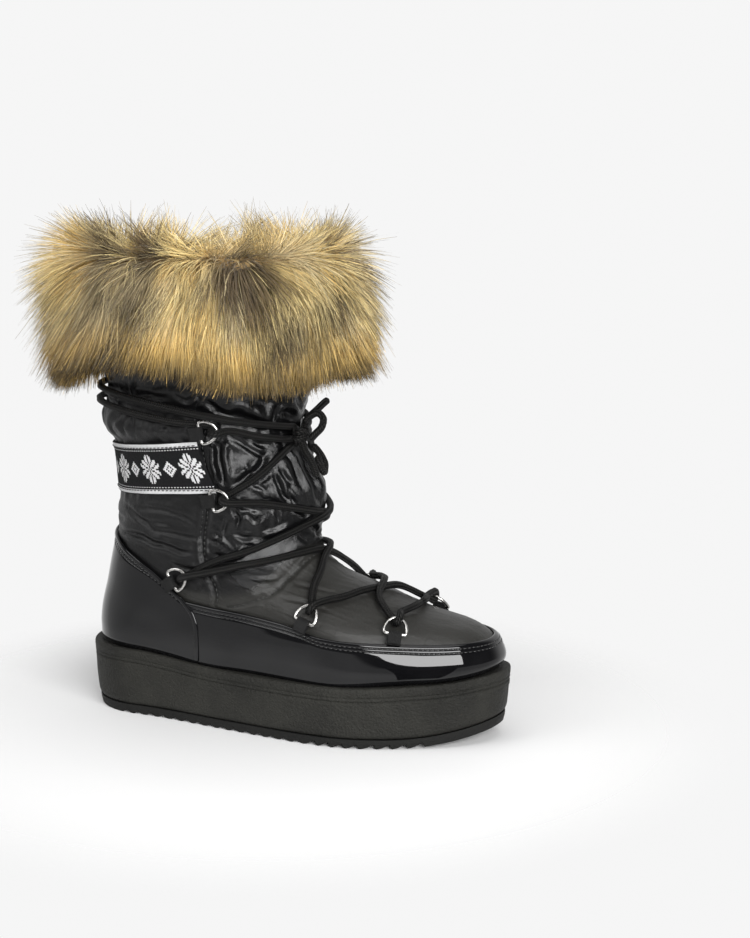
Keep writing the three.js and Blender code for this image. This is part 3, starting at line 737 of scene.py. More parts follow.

# %% [markdown]
# The main creases of the nylon are listed by angle and height, with a
# width and a depth in millimetres: a positive depth is a trough with a soft
# ridge on either side, a negative one a raised fold. The inner side mirrors two
# in three of them.

# %% Crease table
# route, width, depth
CREASES = [
    ([(113, 205), (104, 206), (97, 205), (90, 206)], 1.8, 2.0),
    ([(112, 203), (114, 208), (111, 214)], 1.6, 1.8),
    ([(106, 209), (95, 213), (84, 213)], 3.0, 1.5),
    ([(87, 208), (82, 205), (79, 204), (75, 207), (70, 205)], 1.3, 1.7),
    ([(76, 208), (73, 205), (75, 201)], 1.3, 1.5),
    ([(71, 206), (66, 202), (61, 197.5), (55.7, 195.3), (46.3, 193), (31, 187)], 1.9, 2.6),
    ([(60, 200.5), (51, 201.5), (40.7, 197), (30, 190)], 3.4, -2.2),
    ([(54, 209), (46, 207), (37.7, 204), (26, 203)], 3.0, 1.6),
    ([(27, 201), (27, 195), (29, 187)], 2.0, 2.0),
    ([(24, 194), (17, 195), (7, 191)], 2.2, 2.0),
    ([(14, 208), (6, 201), (-2, 196)], 2.4, 1.8),
    ([(150, 209), (141, 214), (128, 216)], 2.6, 1.5),
    ([(168, 211), (160, 217)], 2.2, 1.5),
    ([(119, 196), (131, 188.5), (137, 181.5), (132, 176)], 2.4, 1.3),
    ([(116, 195), (122, 188), (122, 178.5)], 2.2, 1.2),
    ([(114, 194), (113, 187), (116, 177)], 1.8, 1.0),
    ([(88, 192), (92, 188), (96, 185)], 1.3, 1.1),
    ([(93, 188.5), (89, 186)], 1.1, 0.9),
    ([(100, 194), (99, 187), (101, 180)], 1.8, 0.9),
    ([(152, 196), (150, 187), (154, 178)], 2.2, 1.2),
    ([(141, 133), (129, 130.5), (117, 125.5), (107, 123)], 1.7, 1.1),
    ([(126, 134), (105, 135), (92, 132), (82, 127.5)], 1.6, 1.2),
    ([(143, 115.5), (126, 117), (118, 116.5), (109, 114.2), (102, 116)], 1.8, 1.8),
    ([(112, 114), (102, 113), (95, 111), (86.7, 111)], 1.6, 1.6),
    ([(113, 122), (100, 121.5), (89, 120), (81.7, 120)], 1.5, 1.2),
    ([(124, 127), (110, 127), (100, 127.4)], 1.4, 0.9),
    ([(165, 128), (150, 124), (138, 124)], 1.8, 1.0),
    ([(104, 104), (97, 101), (90, 101)], 1.4, 1.1),
    ([(66, 183), (62.7, 175.4), (64.7, 166.6), (67.3, 156.7), (67.7, 152)], 2.0, 3.0),
    ([(58, 183.5), (61.7, 175.4), (65.3, 167.3), (67.3, 155.4)], 2.0, 2.6),
    ([(69.3, 169), (69.3, 162.3), (69.7, 155.4)], 1.6, -1.6),
    ([(34, 173.5), (42.3, 164.8), (55, 157.3), (65.3, 151.7)], 2.2, 2.0),
    ([(51.7, 165.4), (51.3, 161), (56.3, 157.3)], 1.6, 1.5),
    ([(51.7, 153.5), (45.7, 156), (38.7, 160.4)], 1.4, 1.5),
    ([(53.3, 153.5), (48.7, 151.7), (47, 149.2)], 1.3, 1.4),
    ([(37, 160.4), (38, 154.2), (38, 146.7), (31.3, 141.7)], 1.6, 2.2),
    ([(35.3, 148.6), (32, 144.2), (30.3, 141)], 1.1, 1.3),
    ([(42.7, 138), (40.3, 131)], 1.3, 1.4),
    ([(32.3, 162.3), (31.3, 156), (29.3, 151.7)], 1.6, 1.6),
    ([(68.3, 145.4), (63.3, 141.7), (56.7, 139.2), (49.7, 137.3)], 1.4, 1.6),
    ([(62.7, 133), (58, 136), (54, 131.7), (49.7, 135.5)], 1.3, 1.6),
    ([(66, 139.8), (62.7, 133), (63.3, 128)], 1.4, 1.6),
    ([(69, 133), (70, 125)], 1.2, 1.4),
    ([(49, 123), (40.7, 125.5), (32.7, 128.6)], 1.8, -1.6),
    ([(78.3, 118.8), (73, 118.2), (69, 114.8)], 1.3, 1.3),
    ([(77.3, 112.2), (70.3, 109.8), (62.7, 112), (56.3, 117)], 1.5, 1.5),
    ([(64.7, 124.8), (58.3, 121.8), (53, 122.8)], 1.4, 1.3),
    ([(77.3, 125), (72.7, 122.2), (74.7, 117.2)], 1.3, 1.3),
    ([(9, 170), (9, 158), (8, 146), (0, 135.5)], 3.0, 1.6),
    ([(48.3, 183.5), (40.7, 178), (32.3, 176)], 2.0, 1.6),
    ([(56, 183), (48.7, 178.5), (37, 168.5)], 1.8, 1.6),
    ([(16, 128.6), (1.3, 122.2), (-14.7, 118.5)], 1.8, 1.5),
    ([(31.3, 138.6), (22.3, 134.8), (16, 136)], 1.6, 1.4),
    ([(23, 178), (21, 165), (24, 150)], 2.6, 1.4),
    ([(66, 99), (58, 99), (50, 101)], 1.4, 0.9),
    ([(48, 98), (40, 95), (30, 92)], 1.6, 0.7),
    ([(64, 90), (56, 88), (50, 84)], 1.5, 0.7),
    ([(30, 84), (16, 82.5), (0, 82)], 2.4, 0.5),
    ([(20, 90), (8, 89), (-8, 89)], 2.2, 0.5),
]


def crease_shape(distance, width, depth):
    """Trough and shoulders: depth * (0.45 e^-((s-1.7)/1.1)^2 - e^-s^2), s = distance / width."""
    s = distance / width
    return depth * (0.45 * np.exp(-(((s - 1.7) / 1.1) ** 2)) - np.exp(-(s**2)))


def press_creases(surface):
    """Sum of every crease over the points within three widths of it.

    The depth fades in and out along a crease; on the inner side a crease lies
    four degrees further back and is a fifth shallower."""
    flat = surface.reshape(-1, 3)
    total = np.zeros(len(flat))
    for index, (route, width, depth) in enumerate(CREASES):
        for side in SIDES:
            if side < 0 and index % 3 == 1:
                continue
            line = drawn([(a + (0 if side > 0 else 4), h) for a, h in route], side, 1.0)
            low, high = line.min(0) - 3 * width, line.max(0) + 3 * width
            near = np.nonzero(((flat > low) & (flat < high)).all(1))[0]
            if len(near) == 0:
                continue
            distance, run = near_line(flat[near], line)
            length = route_length(line)
            fade = ease(run / (0.3 * length) + 0.15) * ease((length - run) / (0.3 * length) + 0.15)
            total[near] += crease_shape(distance, width, depth * (1 if side > 0 else 0.8)) * fade
    return total.reshape(surface.shape[:-1])


print(len(CREASES), "creases placed")

# %% [markdown]
# The nylon is one grid over the last, finest where the folds are sharpest. It
# stands out in soft puffs between its seams, is drawn in where a seam, a lace
# or a ring holds it down, and carries the creases, the puckers along each seam
# and small crumples. Cloth could be simulated instead, but folds that must lie
# in known places are surer when they are drawn.

# %% Nylon surface
SHELL_COLUMNS = 440
SHELL_ROWS = np.concatenate([np.linspace(56, 122, 96)[:-1], np.linspace(122, 214, 78)[:-1],
                             np.linspace(214, COLLAR, 14)])
# how far out the nylon lies at rest, under the band, under the patent and at its deepest
REST, UNDER_BAND, UNDER_PATENT, DEEPEST = -1.5, -0.7, -1.75, -2.1


def panel_puff(angle, height):
    """How far each panel may stand out between its seams, in millimetres."""
    rear = ease((np.abs(angle) - 72) / 8)
    above = ease((height - 200) / 10)
    puff = ease((height - 172) / 6) * (1 - above)
    quarter = 1 - ease((height - 141) / 5)
    vamp = 1 - ease((height - (80 + 32 * ease((95 - np.abs(angle)) / 80))) / 6)
    back = 4.6 * puff + 1.9 * quarter
    front = 2.2 * (1 - vamp) + 1.0 * vamp
    return (rear * back + (1 - rear) * front) * (1 - above) + 3.4 * above


def nylon_relief(angle, height, surface):
    """Distance out from the last over the whole grid, in millimetres."""
    seam, seam_run = near_line(surface, np.concatenate([drawn(SIDE_SEAM, side, 1.2) for side in SIDES]))
    vamp, vamp_run = near_line(surface, np.concatenate([drawn(VAMP_SEAM, side, 1.2) for side in SIDES]))
    top, top_run = near_line(surface, edge_line(BAND_EDGES, 2, BAND_HALF))
    low, low_run = near_line(surface, edge_line(BAND_EDGES, 1, BAND_HALF))
    guard, _ = near_line(surface, MUDGUARD_LINE)
    counter, counter_run = near_line(surface, COUNTER_LINE)
    wraps = [drawn(LACES[name], side, 1.5) for name in ("wrap_upper", "wrap_lower") for side in SIDES]
    wrap, wrap_run = near_line(surface, np.concatenate(wraps))
    lace, _ = near_line(surface, LACE_LINES)

    around = np.cumsum(np.linalg.norm(np.diff(surface, axis=1, prepend=surface[:, :1]), axis=-1), 1)
    upward = np.cumsum(np.linalg.norm(np.diff(surface, axis=0, prepend=surface[:1]), axis=-1), 0)

    held = 1 - np.exp(-(np.minimum.reduce([seam, top, low, counter, wrap, guard]) / 6.5) ** 1.6)
    relief = REST + panel_puff(angle, height) * held * (1 - np.exp(-((vamp / 3.5) ** 1.5)))

    ripple = soft_noise(seam_run / 3.1, seam / 9, 1) - 0.5
    relief += 1.7 * ripple * np.exp(-seam / 6.0) * ease(seam / 1.2)
    relief += 1.8 * (soft_noise(wrap_run / 4.2, wrap / 22, 2) - 0.5) * np.exp(-wrap / 9.0)
    relief += 1.3 * (soft_noise(top_run / 4.5, top / 14, 3) - 0.5) * np.exp(-top / 8.0)
    relief += 1.1 * (soft_noise(low_run / 4.5, low / 12, 3) - 0.5) * np.exp(-low / 7.0)
    relief += 1.0 * (soft_noise(counter_run / 5.0, counter / 12, 4) - 0.5) * np.exp(-counter / 7.0)
    relief += 0.9 * (soft_noise(vamp_run / 3.6, vamp / 12, 5) - 0.5) * np.exp(-vamp / 6.0)

    rear = ease((np.abs(angle) - 70) / 8)
    collar = ease((height - 200) / 8)
    shaft = ease((height - (84 + 28 * ease((95 - np.abs(angle)) / 80))) / 6)
    glossy = (1 - rear) * shaft * (1 - collar)
    relief += 0.75 * glossy * crumple(around, upward, 11.0, 1.2, 35, 0)
    relief += 0.55 * rear * crumple(around, upward, 10.0, 2.6, 8, 1)
    relief += 0.95 * collar * crumple(around, upward, 14.0, 1.7, -20, 2)
    relief += 0.20 * (1 - shaft) * crumple(around, upward, 5.0, 3.0, 62, 3)
    relief += press_creases(surface)
    for line, run, deep in ((seam, seam_run, 1.0), (vamp, vamp_run, 0.6)):
        lip = 0.5 + 1.1 * soft_noise(run / 3.4, line / 9, 5)
        relief += deep * lip * np.exp(-(((line - 2.9) / 1.3) ** 2))
        relief -= 0.9 * deep * np.exp(-((line / 0.9) ** 2))

    relief = np.minimum(relief, 0.95 + 0.55 * np.maximum(lace - 1.2, 0) ** 1.1)
    for ring_angle, ring_height, _ in RINGS:
        for side in SIDES:
            foot = form(side * float(ring_angle), float(ring_height))
            distance = np.linalg.norm(surface - foot, axis=-1)
            relief = np.minimum(relief, 0.3 + 0.5 * np.maximum(distance - 8.0, 0))
    from_toe, from_heel = np.abs(angle), 180 - np.abs(angle)
    band = ((from_toe > BAND_ANGLE) & (height > read(BAND_EDGES, from_heel, 1))
            & (height < read(BAND_EDGES, from_heel, 2)))
    relief = np.where(band, np.minimum(relief, UNDER_BAND), relief)
    relief = np.maximum(relief, DEEPEST)
    edge = np.where(from_toe > SEAM_ANGLE, read(COUNTER_TOP, from_heel, 1), read(MUDGUARD_TOP, from_toe, 1))
    tucked = 1 - ease((height - edge + 1.0) / 3.5)
    relief = relief * (1 - tucked) + np.minimum(relief, UNDER_PATENT) * tucked
    return relief, glossy, 1 - shaft, np.stack([around, upward], -1)


angle = ((np.arange(SHELL_COLUMNS) + 0.5) * 360 / SHELL_COLUMNS)[None] + 0 * SHELL_ROWS[:, None]
angle = np.where(angle > 180, angle - 360, angle)
height = SHELL_ROWS[:, None] + 0 * angle
surface = form(angle, height)
# The third value marks the vamp, whose lighter colour is a painted sheen.
relief, glossy, vamp_painted_sheen, nylon_uv = nylon_relief(angle, height, surface)
nylon_points = surface + outward(angle, height) * relief[..., None]
print("relief from", relief.min().round(2), "to", relief.max().round(2), "mm")

# %% [markdown]
# The nylon has two finishes: lacquered and almost wet on the front of the
# shaft, satin on the quarters, collar and vamp. One material serves both. A
# value on the mesh slides its roughness from one to the other, and a fine
# taffeta weave from the pattern map breaks up the satin's sheen. A second
# value lifts the vamp's base colour to dark grey-beige, a painted sheen for
# the satin's broad reflection of the light above.

# %% Nylon finish
THREAD_SPACING = 0.45


def nylon_finish():
    """Roughness goes from satin to lacquer with the mesh value 'gloss'."""
    made = material("nylon_padded", (0.008, 0.008, 0.009), 0.35, Specular_IOR_Level=0.36)
    across, along = pattern_of(made)
    thread = 2 * math.pi / THREAD_SPACING
    warp = calc(made, "SINE", calc(made, "MULTIPLY", across, thread))
    weft = calc(made, "SINE", calc(made, "MULTIPLY", along, thread))
    weave = calc(made, "MULTIPLY", warp, weft)
    cloud = noise(made, place_of(made), 70.0, 4.0)
    gloss = attribute(made, "gloss")
    worn = spread(made, cloud, 0.3, 0.7, 0.0, 0.06)
    rough = calc(made, "ADD", spread(made, gloss, 0.0, 1.0, 0.36, 0.13), worn)
    # Painted sheen: the mesh value 'vamp' lifts the vamp's base colour from near black to dark grey-beige,
    # for the satin's broad reflection of the light above.
    tint = ramp(made, attribute(made, "vamp"),
                [(0.0, (0.0035, 0.0035, 0.0037)), (1.0, (0.020, 0.0195, 0.0175))])
    crinkle = noise(made, place_of(made), 420.0, 5.0, 0.62)
    fine = bump(made, crinkle, 0.0006, 0.55)
    wire(made, Base_Color=tint, Roughness=rough, Normal=bump(made, weave, 0.00003, 0.5, fine))
    return made


NYLON = nylon_finish()
shell_quads = grid_faces(len(SHELL_ROWS), SHELL_COLUMNS, close_columns=True)
shell = add_piece("nylon_shell", nylon_points, shell_quads, [NYLON], nylon_uv,
                  {"gloss": glossy.ravel(), "vamp": vamp_painted_sheen.ravel()})
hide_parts("upper")

# %% [markdown]
# Inside is a short fleece on the far face of the padding. It is a plain skin
# of the last drawn 6 mm in, with small clumps of pile, that meets the nylon in
# a folded rim hidden by the fur.

# %% Fleece lining
def lining_finish():
    """Pile: clumped noise in relief and in colour."""
    made = material("fleece", (0.03, 0.028, 0.026), 0.95, Sheen_Weight=0.6, Sheen_Roughness=0.6)
    clumps = noise(made, place_of(made), 320.0, 5.0, 0.7)
    colour = ramp(made, clumps, [(0.3, (0.012, 0.011, 0.010)), (0.7, (0.055, 0.052, 0.048))])
    wire(made, Base_Color=colour, Roughness=spread(made, clumps, 0.2, 0.8, 0.85, 1.0),
         Normal=bump(made, clumps, 0.002, 0.9))
    return made


FLEECE = lining_finish()
LINING_COLUMNS = 120
LINING_OUT, LINING_RIM_OUT, PILE = -6.1, -2.4, 0.7
turn = ((np.arange(LINING_COLUMNS) + 0.5) * 360 / LINING_COLUMNS)[None]
level = np.concatenate([np.linspace(COLLAR, 118, 40), np.linspace(114, 43, 36)])[:, None]
inside = on_form(turn, level, LINING_OUT + PILE * soft_noise(turn / 4.0, level / 4.0, 4))
skin = np.concatenate([on_form(turn, COLLAR, LINING_RIM_OUT), inside])
lining_quads = grid_faces(len(skin), LINING_COLUMNS, close_columns=True)
lining = add_piece("fleece_lining", skin, lining_quads, [FLEECE], closed=False)

insole_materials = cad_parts["insole"].data.materials
insole_materials.clear()
insole_materials.append(FLEECE)

# %% [markdown]
# Patent leather is a hide under a thick clear lacquer, so it has a mirror gloss
# with a slow waviness. The waves are in the surface itself, where they bend
# real reflections, and only the finest orange-peel is left to the material.

# %% Patent finish
def patent_finish():
    """A black hide under a clear coat, with slight orange peel and faint dust."""
    made = material("patent_leather", (0.004, 0.004, 0.0045), 0.16, Specular_IOR_Level=0.05,
                    Coat_Weight=0.72, Coat_Roughness=0.02)
    peel = noise(made, place_of(made), 260.0, 2.0)
    dust = noise(made, place_of(made), 30.0, 5.0)
    rub = spread(made, dust, 0.45, 0.75, 0.05, 0.14)
    colour = ramp(made, dust, [(0.4, (0.0035, 0.0035, 0.004)), (0.8, (0.007, 0.007, 0.0075))])
    wire(made, Base_Color=colour, Roughness=rub, Normal=bump(made, peel, 0.00012, 0.35))
    return made


PATENT = patent_finish()
HEM_STEPS = np.array([0, 0.25, 0.6, 1.0, 1.5, 2.0, 2.5, 2.9, 3.2, 3.5, 4.0, 4.6, 5.2, 5.5, 5.8, 6.4, 7.5])
STITCH_DEPTHS = (3.2, 5.5)
SEAM_GAP = 0.3
OVERLAY_BACK = -1.5
# of each overlay: degrees to a wave, layer of noise, belly at the toe in millimetres
MUDGUARD_SKIN, COUNTER_SKIN = (11.0, 0, 2.3), (16.0, 1, 0.0)


def hem_roll(below):
    """Height of the surface near an edge: a rolled lip, then two stitch grooves.

    lip = 0.9 sqrt(1 - (1 - d/1.6)^2) for d under 1.6, and each groove takes
    0.32 e^-((d - d0)/0.4)^2 away."""
    lip = 0.9 * np.sqrt(np.maximum(1 - (1 - np.clip(below / 1.6, 0, 1)) ** 2, 0))
    settle = 0.35 * ease((below - 1.6) / 2.4)
    grooves = sum(0.32 * np.exp(-(((below - at) / 0.4) ** 2)) for at in STITCH_DEPTHS)
    return lip - settle - grooves


def overlay_points(angles, tops, skin):
    """A leather piece from the feather line to its top edge, with its back face.

    Levels run down from the hem in fixed steps and then evenly; the surface is
    moved out by the hem roll, by waves 20 to 40 mm long and 0.2 mm high, and at
    the toe by a belly of 1.87 b (d - d^5) that is fullest at its corners."""
    wave_degrees, layer, toe_belly = skin
    body = np.linspace(0, 1, 14)[1:]
    deepest = HEM_STEPS[-1]
    rest = deepest + body[:, None] * (tops[None] - FEATHER - deepest)
    below = np.concatenate([np.broadcast_to(HEM_STEPS[:, None], (len(HEM_STEPS), len(angles))), rest])
    height = np.maximum(tops[None] - below, FEATHER)
    around = np.broadcast_to(angles[None], height.shape)
    wave = 0.45 * (soft_noise(around / wave_degrees, height / 15, layer) - 0.5)
    wave = wave * (1 - 0.85 * np.exp(-((around / 75.0) ** 6)))
    down = np.clip((below - 1) / (tops[None] - 41.0), 0, 1)
    cheek = 1 + 0.6 * np.exp(-(((np.abs(around) - 52.0) / 17.0) ** 2))
    belly = toe_belly * 1.87 * (down - down**5) * cheek
    out = -0.55 + hem_roll(below) + wave * ease(below / 7) + belly * np.exp(-((around / 62.0) ** 4))
    face = on_form(around, height, out)
    rear = on_form(around, height, np.full_like(out, OVERLAY_BACK))
    return face, rear


def strip_body(face, rear):
    """Closed body between a front and a rear grid with the same size."""
    rows, columns = face.shape[:2]
    loops = np.swapaxes(np.concatenate([face, rear[::-1]]), 0, 1)
    quads = np.concatenate([grid_faces(columns, 2 * rows, close_columns=True), end_faces(columns, 2 * rows)])
    return loops, quads


angles = np.linspace(-SEAM_ANGLE + SEAM_GAP, SEAM_ANGLE - SEAM_GAP, 400)
tops = read(MUDGUARD_TOP, np.abs(angles), 1)
guard_points, guard_quads = strip_body(*overlay_points(angles, tops, MUDGUARD_SKIN))
guard = add_piece("patent_mudguard", guard_points, guard_quads, [PATENT])
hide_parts("mudguard")

angles = np.linspace(SEAM_ANGLE + SEAM_GAP, 360 - SEAM_ANGLE - SEAM_GAP, 260)
tops = read(COUNTER_TOP, np.abs(180 - angles), 1)
counter_points, counter_quads = strip_body(*overlay_points(angles, tops, COUNTER_SKIN))
counter = add_piece("patent_counter", counter_points, counter_quads, [PATENT])
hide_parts("heel_counter")

# %% [markdown]
# Where the counter laps over the mudguard, and along the counter's top, a thin
# piped welt covers the cut edge. It is two cords side by side under one strip,
# so its section is a flat oval with a dip along the middle.

# %% Piped welts
WELT_AROUND, WELT_THICK = 14, 0.95


def welt_body(route, outwards, half_width):
    """An oval section, (w cos t, h sin t) with its crown lowered in the middle."""
    tangent, _, _ = frames(route, outwards)
    across = unit(np.cross(tangent, outwards))
    t = 2 * np.pi * (np.arange(WELT_AROUND) + 0.5) / WELT_AROUND
    crown = WELT_THICK * np.sin(t) * (1 - 0.38 * np.exp(-((np.cos(t) / 0.28) ** 2)))
    size = np.ones(len(route))
    size[[0, -1]] = 0.1
    points = (route[:, None] + size[:, None, None] * (across[:, None] * (half_width * np.cos(t))[:, None]
              + outwards[:, None] * crown[:, None]))
    uv = np.stack(np.broadcast_arrays(t / (2 * np.pi), run_along(route)[:, None] / BRAID_PITCH), -1)
    quads = np.concatenate([grid_faces(len(route), WELT_AROUND, close_columns=True),
                            end_faces(len(route), WELT_AROUND)])
    return points, outward_quads(points, quads), uv


front_height = np.linspace(82.5, 41.5, 44)
welts = []
for side in SIDES:
    front_angle = side * (SEAM_ANGLE + 0 * front_height)
    front = on_form(front_angle, front_height, 0.25)
    welts.append(welt_body(front, outward(front_angle, front_height), 1.6))
top_angle = np.linspace(SEAM_ANGLE - 0.5, 360 - SEAM_ANGLE + 0.5, 260)
top_height = read(COUNTER_TOP, np.abs(180 - top_angle), 1) - 0.6
welts.append(welt_body(on_form(top_angle, top_height, 0.1), outward(top_angle, top_height), 1.35))
points, quads, uv = join(welts)
piping = add_piece("piped_welts", points, quads, [PATENT], uv, closed=False)

# %% [markdown]
# The platform is one moulding: a smooth rim with two fine grooves under it, a
# pebbled wall and a small roll at its foot. The wall's profile is carried round
# the sole's outline.

# %% Sole outline and platform
def sole_edge(angle):
    """Outline point by angle: station (1 + cos) / 2 of the length, half width
    from the table under round ends, and the middle line swung inwards."""
    x = SOLE_LENGTH * (1 + np.cos(np.radians(angle))) / 2
    outer = np.sin(np.radians(angle)) >= 0
    half = np.where(outer, read(SOLE_WIDTH, x, 1), read(SOLE_WIDTH, x, 2))
    y = half * round_ends(x, SOLE_LENGTH - x, 42, 91, 2.3)
    return np.stack([x, swing(x) + np.where(outer, -y, y)], -1)


def sole_inset(angle, inset):
    """Outline moved inwards, square to itself."""
    along = unit(sole_edge(angle + 0.5) - sole_edge(angle - 0.5))
    return sole_edge(angle) + np.stack([along[..., 1], -along[..., 0]], -1) * np.asarray(inset)[..., None]


TREAD_THICK = 6.0
# measured from: 0 up from the foot, 1 down from the rim; distance; inset
PLATFORM_WALL = np.array([
    (0, 0, 4.4), (0, 0.5, 3.5), (0, 1.6, 2.6), (0, 2.6, 2.15), (0, 3.6, 1.9), (0, 6, 1.6), (0, 9, 1.3),
    (0, 12, 1.05), (0, 16, 0.75), (1, 12, 0.5), (1, 10, 0.32), (1, 9.4, 0.3), (1, 8.9, 0.55),
    (1, 8.6, 0.95), (1, 8.3, 0.95), (1, 8.0, 0.5), (1, 7.5, 0.2), (1, 6.9, 0.12), (1, 6.3, 0.35),
    (1, 6.0, 0.6), (1, 5.7, 0.35), (1, 5.2, 0.05), (1, 3.4, -0.1), (1, 2.2, -0.1), (1, 1.4, 0.0),
    (1, 0.8, 0.2), (1, 0.35, 0.6), (1, 0.08, 1.1), (1, 0, 1.7), (1, 0.1, 4.0)])
PLATFORM_COLUMNS = 360
turn = (np.arange(PLATFORM_COLUMNS) + 0.5)[None] + 0 * PLATFORM_WALL[:, :1]
flat = sole_inset(turn, PLATFORM_WALL[:, 2:] + 0 * turn)
foot = spring(flat[..., 0]) + TREAD_THICK + 0.3 + PLATFORM_WALL[:, 1:2]
rim = read(RIM, flat[..., 0], 1) - PLATFORM_WALL[:, 1:2]
wall = np.concatenate([flat, np.where(PLATFORM_WALL[:, :1] > 0, rim, foot)[..., None]], -1)


def rubber_finish(name, dark, light, scale, depth, rough):
    """Moulded rubber: pebbles from cell noise, scuffs and dust from slow noise."""
    made = material(name, light, rough, Specular_IOR_Level=0.2)
    place = place_of(made)
    cells = node(made, "ShaderNodeTexVoronoi", {"feature": "SMOOTH_F1"}, Vector=place, Scale=scale).outputs[0]
    grit = noise(made, place, scale * 1.6, 4.0, 0.7)
    slow = noise(made, place, 26.0, 5.0)
    shade = calc(made, "ADD", calc(made, "MULTIPLY", slow, 0.6), calc(made, "MULTIPLY", grit, 0.4))
    colour = ramp(made, shade, [(0.3, dark), (0.7, light)])
    height = calc(made, "SUBTRACT", grit, cells)
    wire(made, Base_Color=colour, Roughness=spread(made, slow, 0.3, 0.7, rough - 0.08, rough + 0.1),
         Normal=bump(made, height, depth, 0.8))
    return made


PLATFORM_RUBBER = rubber_finish("platform_rubber", (0.005, 0.0049, 0.0042), (0.031, 0.0305, 0.026),
                                700.0, 0.0009, 0.58)
TREAD_RUBBER = rubber_finish("tread_rubber", (0.005, 0.005, 0.0048), (0.012, 0.012, 0.011),
                             1400.0, 0.0003, 0.66)
wall_quads = np.concatenate([grid_faces(len(wall), PLATFORM_COLUMNS, close_columns=True),
                             end_faces(len(wall), PLATFORM_COLUMNS)])
platform = add_piece("platform_body", wall, wall_quads, [PLATFORM_RUBBER])
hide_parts("platform")

# %% [markdown]
# The tread is a black rubber slab whose edge is cut into small saw teeth, each
# upright towards the toe. Its underside is a height worked out over rings that
# shrink towards the sole's middle line: teeth at the edge, shallow bars inside.

# %% Tread
TOOTH_PITCH, TOOTH_FIRST, TOOTH_GAPS = 8.94, 31.0, 23
TOOTH_TIP, TOOTH_DEPTH, TOOTH_REACH = 2.4, 3.0, 17.0


def tooth_rise(x):
    """Rise of the underside between two teeth: 0 on a tip, TOOTH_DEPTH at the
    upright face, sloping back down to the next tip."""
    along = (x - TOOTH_FIRST) / TOOTH_PITCH
    inside = (along >= 0) & (along < TOOTH_GAPS)
    share = (along - np.floor(along)) * TOOTH_PITCH
    slope = np.clip((share - TOOTH_TIP) / (TOOTH_PITCH - TOOTH_TIP), 0, 1)
    return np.where(inside & (share > TOOTH_TIP), TOOTH_DEPTH * slope, 0.0)


def tooth_angles():
    """Angles round the outline, dense at every tooth's tip and upright face."""
    starts = TOOTH_FIRST + TOOTH_PITCH * np.arange(TOOTH_GAPS + 1)
    marks = (starts[:, None] + np.array([-0.02, 0.0, 1.2, TOOTH_TIP, 5.6])).ravel()
    marks = marks[marks < SOLE_LENGTH - 3]
    outer = np.degrees(np.arccos(np.clip(2 * marks / SOLE_LENGTH - 1, -1, 1)))
    ends = np.concatenate([np.linspace(0.7, outer.min(), 24)[:-1], np.linspace(outer.max(), 179.3, 30)[1:]])
    half = np.sort(np.concatenate([outer, ends]))
    return np.concatenate([half, 360 - half[::-1]])


turn = tooth_angles()
TOOTH_RING = sole_inset(turn, np.full(len(turn), TOOTH_REACH))
MIDDLE_LINE = np.stack([TOOTH_RING[:, 0], swing(TOOTH_RING[:, 0])], -1)


def tread_ring(place, up, teeth=0.0):
    """A ring of the slab at a rise above its springing underside, cut by a share
    of the teeth. Its place is an inset from the outline in millimetres, or
    below zero a share of the way from the teeth's ends to the middle line."""
    if place > 0:
        ring = sole_inset(turn, np.full(len(turn), place))
    else:
        ring = TOOTH_RING + (MIDDLE_LINE - TOOTH_RING) * -place
    rise = spring(ring[:, 0]) + (up + teeth * tooth_rise(ring[:, 0]))
    return np.concatenate([ring, rise[:, None]], 1)


slab = np.stack([tread_ring(2.9, TREAD_THICK), tread_ring(3.1, 3.4), tread_ring(3.9, 0.25, 1.0),
                 tread_ring(4.4, 0.0, 1.0), tread_ring(TOOTH_REACH, 0.0, 1.0), tread_ring(-0.012, 0.0),
                 tread_ring(-0.1, 0.0), tread_ring(-0.11, 0.0, 0.5), tread_ring(-0.9, 0.0, 0.5),
                 tread_ring(-1.0, 0.0)])
slab_quads = np.concatenate([grid_faces(len(slab), slab.shape[1], close_columns=True),
                             end_faces(len(slab), slab.shape[1])[: slab.shape[1] // 2 - 1]])
tread = add_piece("tread_body", slab, slab_quads, [TREAD_RUBBER])
tread.data.polygons.foreach_set("use_smooth", np.zeros(len(tread.data.polygons), bool))
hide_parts("tread")

# %% [markdown]
# The woven tape round the back is a jacquard: each square of a chart
# is one crossing of a black or a pale yarn. The chart here is a plain row of
# eight-pointed stars and diamonds between two pale edges. It is laid out on a
# grid with one face to a crossing, so that the pattern is as crisp as weaving.

# %% Woven band
STAR = [
    "......#.#......",
    ".....##.##.....",
    ".....##.##.....",
    "..##.##.##.##..",
    "..###.#.#.###..",
    "#..###.#.###..#",
    "###.###.###.###",
    ".###..#.#..###.",
    "...###.#.###...",
    ".###..#.#..###.",
    "###.###.###.###",
    "#..###.#.###..#",
    "..###.#.#.###..",
    "..##.##.##.##..",
    ".....##.##.....",
    ".....##.##.....",
    "......#.#......",
]
DIAMOND = [
    "....#....",
    "...###...",
    "..##.##..",
    ".##.#.##.",
    "##.###.##",
    ".##.#.##.",
    "..##.##..",
    "...###...",
    "....#....",
]
BAND_ROWS, EDGE_ROWS, BAND_COLUMNS, BAND_BACK = 60, 6, 460, -1.3


def motif(lines):
    """A drawn motif as 0 and 1, each mark two yarns wide and high."""
    return np.array([[mark == "#" for mark in line] for line in lines], int).repeat(2, 0).repeat(2, 1)


